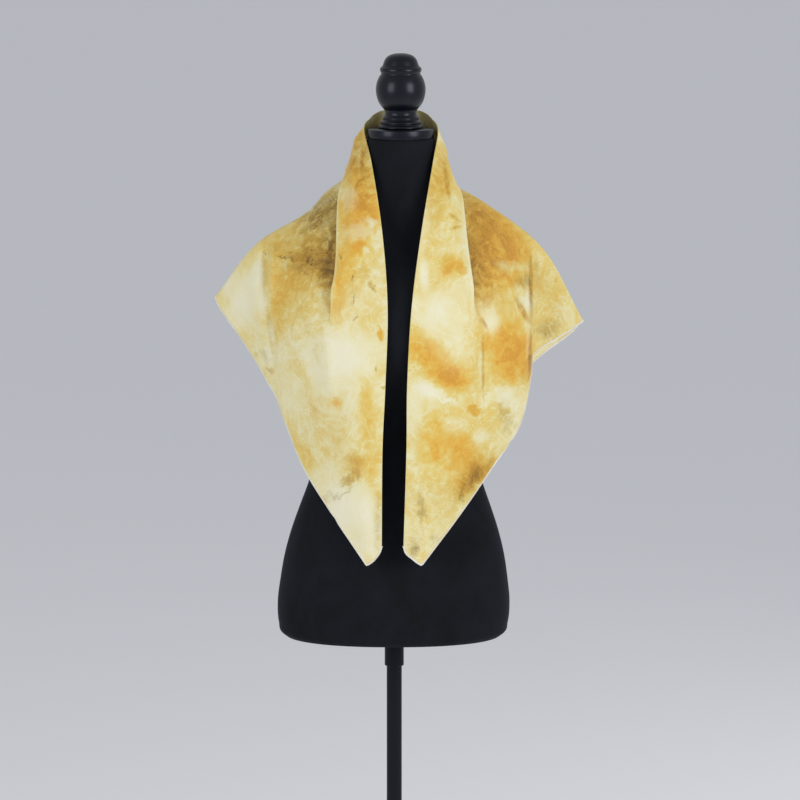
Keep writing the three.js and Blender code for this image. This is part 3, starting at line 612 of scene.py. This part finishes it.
# Smaller dye on the front with a clearer edge: as above, then the edge, 1 soft and 0.3 crisp
LAPEL_SPOTS = [
    (-59, 1334, 16, 10, 85, -0.08, 0, 0.36, 0.8), (-31, 1304, 7, 6, -80, -0.17, 0, 0.40, 0.6),
    (-45, 1292, 24, 13, 25, -0.14, 0, 0.40, 0.8), (-37, 1267, 21, 16, -10, 0.15, 0, 0, 0.8),
    (-37, 1267, 8, 7, 0, -0.26, 0, 0.15, 0.7), (-76, 1256, 3.4, 2.1, -60, 0, 0.42, 0, 0.8),
    (-66, 1251, 19, 11, -60, 0.10, 0, 0, 0.9), (-43, 1239, 13, 10, -60, 0.17, 0.08, 0, 0.9),
    (-57, 1231, 2.8, 2.1, -80, 0, 0.42, 0, 0.8), (-28, 1221, 7, 4, -60, 0.21, 0.19, 0, 0.6),
    (-57, 1202, 22, 6, 85, 0.07, 0.03, 0, 0.8), (-54, 1198, 8, 1.8, 88, 0, 0.38, 0, 0.8),
    (78, 1251, 16, 10, -30, 0.12, 0.02, 0, 0.8), (93, 1240, 8, 7, -60, 0.17, 0.04, 0, 0.6),
    (72, 1238, 7, 6, 0, 0.13, 0.03, 0, 0.7), (40, 1235, 21, 6, 88, -0.06, 0, 0.24, 0.8),
]
FRONT_SPOTS = [
    (-112, 1291, 22, 8, 30, 0, 0.14, 0, 1.0), (-177, 1252, 3.4, 2.1, -90, 0, 0.51, 0, 0.8),
    (-149, 1250, 10, 1.7, -20, 0, 0.42, 0, 0.8), (-112, 1251, 8, 1.7, -5, 0, 0.42, 0, 0.8),
    (-128, 1246, 22, 10, 20, 0.03, 0.12, 0, 1.0), (-124, 1236, 4, 2.8, -20, 0, 0.34, 0, 0.8),
    (-98, 1232, 16, 10, 60, 0.06, 0.12, 0, 1.0), (-142, 1219, 16, 11, -30, 0.07, 0.04, 0, 1.0),
    (-51, 1175, 2.8, 2.1, 0, 0, 0.42, 0, 0.8), (-19, 1157, 8, 6, -90, 0.47, 0.03, 0, 0.7),
    (-100, 1133, 22, 6, 60, 0.07, 0.02, 0, 1.0), (-182, 1112, 11, 10, 80, 0.08, 0.17, 0, 0.9),
    (-30, 1113, 4, 2.8, -60, 0.17, 0.26, 0, 0.8), (-177, 1091, 7, 6, 0, 0.10, 0.20, 0, 0.8),
    (-16, 1084, 4, 2.8, -90, 0.17, 0.26, 0, 0.8), (-79, 1062, 8, 7, 0, 0.17, 0, 0, 0.7),
    (-53, 982, 14, 11, 60, 0.15, 0.08, 0, 0.9), (-60, 959, 11, 7, 50, 0.21, 0.17, 0, 0.7),
    (-68, 939, 19, 2.8, 38, 0.09, 0.19, 0, 0.8), (-87, 931, 11, 5, 40, 0.09, 0.22, 0, 0.7),
    (120, 1282, 16, 10, -40, 0.04, 0.06, 0, 1.0), (125, 1253, 19, 11, -60, 0.07, 0.06, 0, 0.9),
    (158, 1242, 26, 6, -15, -0.17, 0, 0.14, 0.8), (111, 1236, 54, 10, -84, 0.09, 0.08, 0, 0.7),
    (155, 1224, 19, 13, -20, 0.11, 0, 0, 0.8), (178, 1216, 13, 13, 0, 0.03, 0.20, 0, 0.8),
    (133, 1219, 19, 10, -80, 0.08, 0.05, 0, 0.9), (183, 1185, 14, 8, -60, -0.06, 0, 0.20, 0.9),
    (224, 1159, 11, 7, -60, 0, 0.10, 0, 0.8), (210, 1143, 21, 13, -20, 0, 0.10, 0, 0.9),
    (123, 1143, 12, 6, 75, 0.20, 0, 0, 0.6), (166, 1136, 22, 16, -70, 0.07, 0.01, 0, 0.8),
    (159, 1127, 48, 27, 88, 0.14, 0, 0, 0.6), (62, 1114, 63, 21, -38, 0.17, 0, 0, 0.6),
    (183, 1096, 21, 11, -90, 0.08, 0.04, 0, 0.8), (76, 1100, 22, 13, -30, 0.10, 0.02, 0, 0.8),
    (48, 1080, 19, 10, -20, -0.11, 0, 0.24, 0.8), (65, 1069, 21, 2.5, -27, -0.17, 0, 0.45, 0.8),
    (110, 1053, 8, 6, -20, 0.30, 0.04, 0, 0.6), (155, 1037, 25, 8, -68, 0.07, 0.20, 0, 0.8),
    (51, 1033, 16, 10, -70, 0.09, 0, 0, 0.9), (92, 994, 19, 14, -20, 0.12, 0, 0, 0.8),
    (62, 992, 10, 7, -30, 0.17, 0, 0, 0.7), (109, 954, 32, 10, 45, 0.10, 0.12, 0, 0.8),
    (92, 937, 11, 6, 50, 0.09, 0.20, 0, 0.7), (88, 925, 7, 6, 0, 0, 0.20, 0, 0.8),
    (38, 914, 26, 3.6, -88, 0, 0.20, 0, 0.8), (56, 874, 8, 7, 0, 0, 0.15, 0, 0.8),
    (27, 860, 11, 7, 80, 0, 0.19, 0, 0.7),
]

# Sharp little creases on the front, as lines of light or shade: both ends as x and z, half width,
# then how much amber, umber and pale each adds
CREASE_LINES = [
    (187, 1261, 188, 1152, 3.0, 0.22, 0.34, 0), (187, 1162, 185, 1076, 3.0, 0.22, 0.34, 0),
    (182, 1249, 182, 1095, 3.0, -0.05, 0, 0.22), (163, 1202, 187, 1157, 3.4, 0.27, 0.24, 0),
    (-178, 1272, -177, 1183, 4.1, 0.10, 0.08, 0), (-175, 1189, -162, 1093, 3.7, 0.10, 0.12, 0),
    (-173, 1167, -163, 1124, 3.4, -0.10, 0, 0.28), (-184, 1257, -181, 1174, 3.7, -0.08, 0, 0.21),
    (109, 1198, 119, 1163, 2.2, 0.10, 0.11, 0), (120, 1168, 121, 1058, 2.0, 0.10, 0.18, 0),
    (116, 1157, 117, 1067, 2.6, -0.06, 0, 0.19), (115, 1181, 128, 1158, 2.2, 0.22, 0.19, 0),
    (67, 1383, 77, 1324, 2.8, 0.17, 0.20, 0), (70, 1318, 94, 1301, 2.2, 0.17, 0.18, 0),
    (72, 1294, 95, 1298, 2.2, 0.17, 0.16, 0), (-47, 1409, -49, 1368, 2.6, -0.10, -0.03, 0.20),
    (-42, 1403, -45, 1368, 2.6, 0.18, 0.14, 0), (-92, 1196, -79, 1250, 2.4, 0.12, 0.14, 0),
]


# Amber, umber and pale of the shade beside the lapel's crease, and of the light along it
PAINTED_CREASE_SHADE = np.array([0.18, 0.50, 0.0])
PAINTED_EDGE_HIGHLIGHT = np.array([-0.06, -0.08, 0.28])

WASH_REACH = 1.5       # a wash fades out at this many times its size
CREASE_LENGTH = 10 / 9 # a crease line fades out at this many times its length
CREASE_WIDTH = 1.6     # and at this many times its half width

# Colours of the silk: gold from the palest to the deepest, each with its place, and those laid over it; the
# pale and the umber also serve as painted highlight and shade at the creases
GOLD = [
    (0.00, linear(240, 234, 206)), (0.22, linear(236, 226, 176)), (0.42, linear(231, 209, 130)),
    (0.62, linear(229, 193, 96)), (0.82, linear(229, 176, 70)), (1.00, linear(220, 160, 62)),
]
PALE = linear(240, 235, 203)
UMBER = linear(128, 98, 42)
CRACKLE = linear(92, 72, 38)
SPECK = linear(84, 66, 34)


def dye_and_shade_washes(points, on_lapel, on_body):
    """Amber, umber and pale of the broad dye, and of the few washes of painted shade beside the creases, at
    each point.
    """
    x, y, z = points[..., 0], points[..., 1], points[..., 2]
    at_back = smooth(y, 15, 55)
    at_front = 1 - at_back
    total = np.zeros(points.shape)
    for share, rows in (
        (at_front * on_lapel, LAPEL_WASHES), (at_front * on_body, FRONT_WASHES), (at_back, BACK_WASHES),
    ):
        for x0, z0, long, short, turn, *dye_and_shade in rows:
            a = math.radians(turn)
            dx, dz = x - x0, z - z0
            off = np.hypot((dx * math.cos(a) + dz * math.sin(a)) / (WASH_REACH * long),
                           (dz * math.cos(a) - dx * math.sin(a)) / (WASH_REACH * short))
            total += (share * smooth(1 - off, 0, 1))[..., None] * np.array(dye_and_shade)
    return total


def front_view(n, vector):
    """The vector without its depth, as the front is seen."""
    parts = n.node("ShaderNodeSeparateXYZ", {"Vector": vector})
    flat = {"X": parts.outputs["X"], "Y": 0.0, "Z": parts.outputs["Z"]}
    return n.node("ShaderNodeCombineXYZ", flat).outputs[0]


def patch(n, vector, x, z, long, short, turn):
    """1 in the middle of an oval and 0 at its edge; the oval is in millimetres and radians."""
    local = n.node("ShaderNodeMapping", {
        "Vector": vector, "Location": (x / 1000, 0, z / 1000), "Rotation": (0, -turn, 0),
        "Scale": (long / 1000, 1, short / 1000)}, vector_type="TEXTURE").outputs[0]
    return n.node("ShaderNodeTexGradient", {"Vector": local}, gradient_type="SPHERICAL").outputs["Fac"]


def front_dye_and_crease_shading(n, place, warp, fine):
    """Amber, umber and pale of the dye spots, and of the crease lines of painted light and shade on the
    front, as one vector.
    """
    uneven = n.vector("MULTIPLY_ADD", warp, (0.036, 0.036, 0.036), place)
    uneven = front_view(n, n.vector("MULTIPLY_ADD", fine, (0.020, 0.020, 0.020), uneven))
    total = (0.0, 0.0, 0.0)
    for guide, rows in (("on_lapel", LAPEL_SPOTS), ("on_body", FRONT_SPOTS)):
        part = (0.0, 0.0, 0.0)
        for x, z, long, short, turn, amber, umber, pale, edge in rows:
            grow = 1 + edge / 2
            oval = patch(n, uneven, x, z, long * grow, short * grow, math.radians(turn))
            added = n.vector("SCALE", (amber, umber, pale), scale=n.remap(oval, 0.0, edge))
            part = n.vector("ADD", part, added)
        total = n.vector("ADD", total, n.vector("SCALE", part, scale=n.attribute(guide)))
    straight = front_view(n, n.vector("MULTIPLY_ADD", fine, (0.002, 0.0, 0.002), place))
    for x0, z0, x1, z1, width, amber, umber, pale in CREASE_LINES:
        half = math.hypot(x1 - x0, z1 - z0) / 2 * CREASE_LENGTH
        turn = math.atan2(z1 - z0, x1 - x0)
        oval = patch(n, straight, (x0 + x1) / 2, (z0 + z1) / 2, half, width * CREASE_WIDTH, turn)
        added = n.vector("SCALE", (amber, umber, pale), scale=n.remap(oval, 0.0, 0.8))
        total = n.vector("ADD", total, added)
    depth = n.node("ShaderNodeSeparateXYZ", {"Vector": place}).outputs["Y"]
    return n.vector("SCALE", total, scale=n.remap(depth, 0.05, 0.02))


def silk():
    """Dyed silk with painted shade and highlights at its creases; the dye's places are counted on the outer
    layer, and the inner one has its own clouds.
    """
    n = Nodes("silk")
    place = n.node("ShaderNodeTexCoord").outputs["Object"]
    layer = n.attribute("layer")
    own = n.vector("ADD", place, n.vector("SCALE", (0.9, 2.3, 1.7), scale=layer))
    warp = n.vector("SUBTRACT", n.noise(own, 15, 3.0, 0.55, 0.8, "Color"), (0.5, 0.5, 0.5))
    fine = n.vector("SUBTRACT", n.noise(own, 55, 4.0, 0.62, 1.6, "Color"), (0.5, 0.5, 0.5))
    # Dye, with painted shade beside the creases and painted highlights along the lapel's edge and some
    # creases
    broad = n.node("ShaderNodeAttribute", attribute_name="dye_and_shade_washes").outputs["Vector"]
    total = n.vector("ADD", front_dye_and_crease_shading(n, place, warp, fine), broad)
    only_outer = n.vector("SCALE", total, scale=n.math("SUBTRACT", 1.0, layer))
    dye_and_shade = n.node("ShaderNodeSeparateXYZ", {"Vector": only_outer})

    # Clouds, mottle and thin veins make the gold uneven
    cloud = n.noise(own, 9, 5.0, 0.6, 1.6)
    mottle = n.noise(n.vector("MULTIPLY_ADD", fine, (0.02, 0.02, 0.02), own), 30, 6.0, 0.62, 2.4)
    vein = n.math("ABSOLUTE", n.math("SUBTRACT", n.noise(own, 22, 5.0, 0.55, 1.8), 0.5))
    vein = n.remap(vein, 0.035, 0.0)
    amber = n.math("MULTIPLY_ADD", n.math("SUBTRACT", cloud, 0.5), 0.70, 0.34)
    amber = n.math("MULTIPLY_ADD", n.math("SUBTRACT", mottle, 0.5), 0.42, amber)
    spread = n.remap(mottle, 0.3, 0.7, 0.7, 1.3, "LINEAR")
    amber = n.math("MULTIPLY_ADD", dye_and_shade.outputs["X"], spread, amber)
    amber = n.math("MULTIPLY_ADD", vein, -0.10, amber)
    amber = n.math("MULTIPLY_ADD", n.math("SUBTRACT", n.remap(amber, 0.22, 0.68), 0.5), 0.09, amber)
    golden = n.ramp(amber, GOLD)

    # Pale patches and painted highlights, umber patches and painted crease shade, fine dark crackle in the
    # umber, and specks
    pale = n.math("MULTIPLY", dye_and_shade.outputs["Z"], n.remap(mottle, 0.3, 0.7, 0.5, 1.4, "LINEAR"), clamp=True)
    colour = n.mix(pale, golden, PALE)
    umber = n.math("MULTIPLY", dye_and_shade.outputs["Y"], n.remap(mottle, 0.35, 0.62, 0.45, 1.7, "LINEAR"))
    shade = n.math("MULTIPLY", n.remap(cloud, 0.60, 0.78), 0.12)
    umber = n.math("ADD", umber, shade, clamp=True)
    colour = n.mix(umber, colour, UMBER)
    crackle = n.math("ABSOLUTE", n.math("SUBTRACT", n.noise(own, 75, 4.0, 0.6, 2.2), 0.5))
    crackle = n.math("MULTIPLY", n.remap(crackle, 0.03, 0.0), n.remap(umber, 0.12, 0.45, 0.0, 0.30))
    colour = n.mix(crackle, colour, CRACKLE)
    speck = n.remap(n.noise(own, 210, 2.0, 0.5, 0.0), 0.66, 0.74)
    speck = n.math("MULTIPLY", speck, n.math("MULTIPLY_ADD", umber, 1.3, 0.05, clamp=True))
    colour = n.mix(n.math("MULTIPLY", speck, 0.55), colour, SPECK)

    # Satin, with a soft ripple in the weave
    n.put(n.shader.inputs["Base Color"], colour)
    n.put(n.shader.inputs["Roughness"], 0.5)
    n.put(n.shader.inputs["Specular IOR Level"], 0.22)
    n.put(n.shader.inputs["Sheen Weight"], 0.06)
    n.put(n.shader.inputs["Sheen Roughness"], 0.4)
    ripple = n.noise(n.vector("MULTIPLY", own, (1.0, 1.0, 0.55)), 38, 3.0, 0.5, 0.4)
    n.bump(ripple, 0.0022, 0.6)
    return n.material


def hem_thread():
    """Cream thread in slanting stitches."""
    n = Nodes("hem_thread")
    run = n.attribute("run")
    across = n.attribute("across")
    phase = n.math("MULTIPLY_ADD", run, 2 * math.pi / STITCH_PITCH, n.math("MULTIPLY", across, 1.2))
    stripe = n.math("SINE", phase)
    tint = n.noise(n.node("ShaderNodeTexCoord").outputs["Object"], 26, 3.0)
    colour = n.mix(n.remap(tint, 0.35, 0.65), linear(248, 244, 232), linear(240, 228, 198))
    n.put(n.shader.inputs["Base Color"], colour)
    n.put(n.shader.inputs["Roughness"], 0.6)
    n.bump(stripe, 0.0002)
    return n.material


def velvet():
    """Black velvet, brushed in soft patches, with a bluish sheen."""
    n = Nodes("velvet")
    place = n.node("ShaderNodeTexCoord").outputs["Object"]
    brushed = n.noise(n.vector("MULTIPLY", place, (1, 1, 0.6)), 14, 5.0, 0.65, 0.6)
    colour = n.mix(n.remap(brushed, 0.3, 0.7), linear(14, 16, 20), linear(22, 25, 32))
    n.put(n.shader.inputs["Base Color"], colour)
    n.put(n.shader.inputs["Roughness"], 0.85)
    n.put(n.shader.inputs["Specular IOR Level"], 0.15)
    n.put(n.shader.inputs["Sheen Weight"], 0.10)
    n.put(n.shader.inputs["Sheen Roughness"], 0.35)
    n.put(n.shader.inputs["Sheen Tint"], linear(120, 140, 170))
    n.bump(n.noise(place, 900, 2.0), 0.0004, 0.5)
    return n.material


def plain(name, colour, roughness, coat=0.0):
    """Lacquer, paint or plain floor."""
    n = Nodes(name)
    n.put(n.shader.inputs["Base Color"], colour)
    n.put(n.shader.inputs["Roughness"], roughness)
    n.put(n.shader.inputs["Coat Weight"], coat)
    n.put(n.shader.inputs["Coat Roughness"], 0.26)
    n.put(n.shader.inputs["Specular IOR Level"], 0.18)
    n.put(n.shader.inputs["Specular Tint"], linear(205, 218, 255))
    return n.material


def silk_square(material):
    """The folded square with its dye and its painted crease shade and highlight, and the grids and normals of
    its two layers.
    """
    outer, inner, fold, normals, inner_normals, guides = silk_layers()
    sheet = np.concatenate([inner[:, ::-1], fold, outer], axis=1)
    pad = ((0, 0), (sheet.shape[1] - outer.shape[1], 0))
    on_lapel, on_body, crease_shading = (np.pad(guide, pad, mode="edge") for guide in guides)
    made = mesh_object("silk_square", sheet, grid_faces(*sheet.shape[:2]), material)
    layer = np.zeros(sheet.shape[:2])  # 0 on the outer layer, 1 on the inner one, between them on the fold
    layer[:, :inner.shape[1]] = 1.0
    layer[:, inner.shape[1]] = 0.8
    layer[:, inner.shape[1] + 1] = 0.5
    add_value(made, "layer", layer)
    spread = made.data.attributes.new("dye_and_shade_washes", "FLOAT_VECTOR", "POINT")
    broad = dye_and_shade_washes(sheet, on_lapel, on_body)
    # Painted shade beyond each lapel's crease and a painted highlight along the lapel's edge
    broad += np.maximum(crease_shading, 0)[..., None] * PAINTED_CREASE_SHADE + np.maximum(-crease_shading, 0)[..., None] * PAINTED_EDGE_HIGHLIGHT
    spread.data.foreach_set("vector", broad.astype(np.float32).ravel())
    add_value(made, "on_lapel", on_lapel)
    add_value(made, "on_body", on_body)
    return made, outer, inner, normals, inner_normals


def hem_band(name, path, normals, material):
    """A rolled, overlocked edge along a path; normals are the cloth's."""
    tangent = unit(np.gradient(path, axis=0))
    outward = unit(np.cross(tangent, normals))
    steps = np.linalg.norm(np.diff(path, axis=0), axis=1)
    run = np.concatenate([[0], np.cumsum(steps)])
    rings = []
    for k in range(HEM_SECTION):
        a = 2 * math.pi * k / HEM_SECTION
        over = outward * (HEM_HALF * math.cos(a) - HEM_INSET)
        rings.append(path + over + normals * HEM_THICK * math.sin(a))
    grid = np.stack(rings, axis=1)
    faces = grid_faces(len(path), HEM_SECTION, wrap=True)
    faces += [list(range(HEM_SECTION)),
              [(len(path) - 1) * HEM_SECTION + k for k in reversed(range(HEM_SECTION))]]
    made = mesh_object(name, grid, faces, material)
    add_value(made, "run", np.repeat(run, HEM_SECTION))
    add_value(made, "across", np.tile(np.arange(HEM_SECTION), len(path)))
    return made


def fine_path(path, normals, step=HEM_STEP):
    """The path with points every step or so, and its normals."""
    lengths = np.linalg.norm(np.diff(path, axis=0), axis=1)
    run = np.concatenate([[0], np.cumsum(lengths)])
    keep = np.concatenate([[True], lengths > 0.05])
    path, normals, run = path[keep], normals[keep], run[keep]
    s = np.linspace(0, run[-1], int(run[-1] / step) + 1)
    columns = [np.interp(s, run, values[:, k]) for values in (path, normals) for k in range(3)]
    both = np.stack(columns, axis=1)
    return both[:, :3], unit(both[:, 3:])


def torso_piece(material):
    sides = TORSO_SIDES
    bands = [np.linspace(low, high, count)[:-1] for low, high, count in TORSO_BANDS]
    z = np.concatenate(bands + [[NECK_TOP]])
    level = curve(TORSO, z)
    angle = np.linspace(0, 2 * math.pi, sides, endpoint=False)
    c, s = np.cos(angle), np.sin(angle)
    r = (np.abs(c) ** TORSO_POWER + np.abs(s) ** TORSO_POWER) ** (-1 / TORSO_POWER)
    depth = np.where(s[None] < 0, level[:, 1:2], level[:, 2:3])
    grid = np.stack([axis_x(z)[:, None] + level[:, :1] * (r * c)[None], depth * (r * s)[None],
                     np.repeat(z[:, None], sides, axis=1)], axis=-1)
    faces = [f[::-1] for f in grid_faces(len(z), sides, wrap=True)]
    faces += [list(reversed(range(sides))), [(len(z) - 1) * sides + k for k in range(sides)]]
    return mesh_object("velvet_torso", grid, faces, material)


def turned(name, profile, material, x=0.0, z=0.0, sides=ROUND_SIDES, refine=1):
    """A turned piece from rows of radius and height, low to high; refine rounds the profile."""
    rows = np.asarray(profile, float)
    if refine > 1:
        steps = np.hypot(*np.diff(rows, axis=0).T)
        run = np.concatenate([[0], np.cumsum(steps)])
        places = [np.linspace(run[i], run[i + 1], refine, endpoint=False) for i in range(len(steps))]
        rows = curve(np.column_stack([run, rows]), np.concatenate(places + [run[-1:]]))
    angle = np.linspace(0, 2 * math.pi, sides, endpoint=False)
    grid = np.stack([x + rows[:, :1] * np.cos(angle), rows[:, :1] * np.sin(angle),
                     np.repeat(rows[:, 1:2] + z, sides, axis=1)], axis=-1)
    faces = [f[::-1] for f in grid_faces(len(rows), sides, wrap=True)]
    faces += [list(reversed(range(sides))), [(len(rows) - 1) * sides + k for k in range(sides)]]
    made = mesh_object(name, grid, faces, material)
    sharp = made.modifiers.new("edges", "EDGE_SPLIT")
    sharp.split_angle = math.radians(35)
    return made


silk_finish, thread_finish, velvet_finish = silk(), hem_thread(), velvet()
gloss_finish = plain("black_gloss", linear(6, 9, 15), 0.36, coat=0.4)
steel_finish = plain("black_steel", linear(22, 23, 25), 0.5)

scarf, outer, inner, normals, inner_normals = silk_square(silk_finish)


def outer_edge(grid):
    """Up one front corner's short edge, along the hem, and down the other corner's short edge."""
    return np.concatenate([grid[0, HEM_TRIM:], grid[1:-1, -1], grid[-1, :HEM_TRIM - 1:-1]])


outer_path = fine_path(outer_edge(outer), outer_edge(normals))
outer_hem = hem_band("outer_hem", *outer_path, thread_finish)
inner_hem = hem_band("inner_hem", *fine_path(inner[:, -1], inner_normals[:, -1]), thread_finish)

neck_x = float(axis_x(NECK_TOP))
torso = torso_piece(velvet_finish)
cap = turned("lacquered_cap", CAP, gloss_finish, neck_x, CAP_LOW)
finial = turned("lacquered_finial", FINIAL, gloss_finish, neck_x, FINIAL_LOW, refine=4)
socket = turned("steel_socket", SOCKET, steel_finish)
pole = turned("steel_pole", POLE, steel_finish)
foot = turned("steel_foot", FOOT, steel_finish, refine=3)

for piece, nodes, material_slot in [
    (scarf, ("scarf_left_front", "scarf_back", "scarf_right_front", "scarf_under_layer"), "silk"),
    (outer_hem, (), "silk"),
    (inner_hem, (), "silk"),
    (torso, ("torso",), "velvet"),
    (cap, ("neck_cap",), "black_gloss"),
    (finial, ("finial",), "black_gloss"),
    (socket, ("pole_socket",), "black_steel"),
    (pole, ("pole",), "black_steel"),
    (foot, ("foot",), "black_steel"),
]:
    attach(piece, "root")
    if nodes:
        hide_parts(*nodes)

# Floor, lights and camera
FLOOR_HALF = 90000
LIGHT_WIDTH, LIGHT_HEIGHT = 1.2, 1.6
LIGHT_AIM = Vector((0, 0, 1.15))
SKY, SKY_STRENGTH = (0.92, 0.95, 1.0, 1), 0.52
CAMERA_PLACE, CAMERA_DOWN, LENS, SENSOR = (0.008, -6.0, 1.94), 8.45, 197.8, 36.0

# Softboxes: name, degrees round from the front, distance, height, power, and whether gloss mirrors it
SOFTBOXES = [
    ("softbox_right", 46, 2.6, 1.9, 27, True),
    ("softbox_left", -46, 2.6, 1.9, 20, True),
    ("softbox_back", 128, 3.2, 2.0, 16, False),
]

corners = [(x * FLOOR_HALF, y * FLOOR_HALF, 0) for x, y in ((-1, -1), (1, -1), (1, 1), (-1, 1))]
floor = mesh_object("floor", corners, [[0, 1, 2, 3]], plain("floor", linear(251, 251, 253), 0.9))

for name, azimuth, distance, height, power, mirrored in SOFTBOXES:
    light = bpy.data.lights.new(name, "AREA")
    light.shape, light.size, light.size_y, light.energy = "RECTANGLE", LIGHT_WIDTH, LIGHT_HEIGHT, power
    lamp = bpy.data.objects.new(name, light)
    a = math.radians(azimuth)
    lamp.location = (distance * math.sin(a), -distance * math.cos(a), height)
    lamp.rotation_euler = (LIGHT_AIM - lamp.location).to_track_quat("-Z", "Y").to_euler()
    lamp.visible_glossy = mirrored
    bpy.context.scene.collection.objects.link(lamp)

world = bpy.context.scene.world or bpy.data.worlds.new("world")
bpy.context.scene.world = world
world.use_nodes = True
world.node_tree.nodes["Background"].inputs["Color"].default_value = SKY
world.node_tree.nodes["Background"].inputs["Strength"].default_value = SKY_STRENGTH

camera_data = bpy.data.cameras.new("camera")
camera_data.lens, camera_data.sensor_width = LENS, SENSOR
camera_data.clip_end = 200.0
camera = bpy.data.objects.new("camera", camera_data)
camera.location = CAMERA_PLACE
camera.rotation_euler = (math.radians(90 - CAMERA_DOWN), 0, 0)
bpy.context.scene.collection.objects.link(camera)
bpy.context.scene.camera = camera
bpy.context.scene.view_settings.view_transform = "Standard"
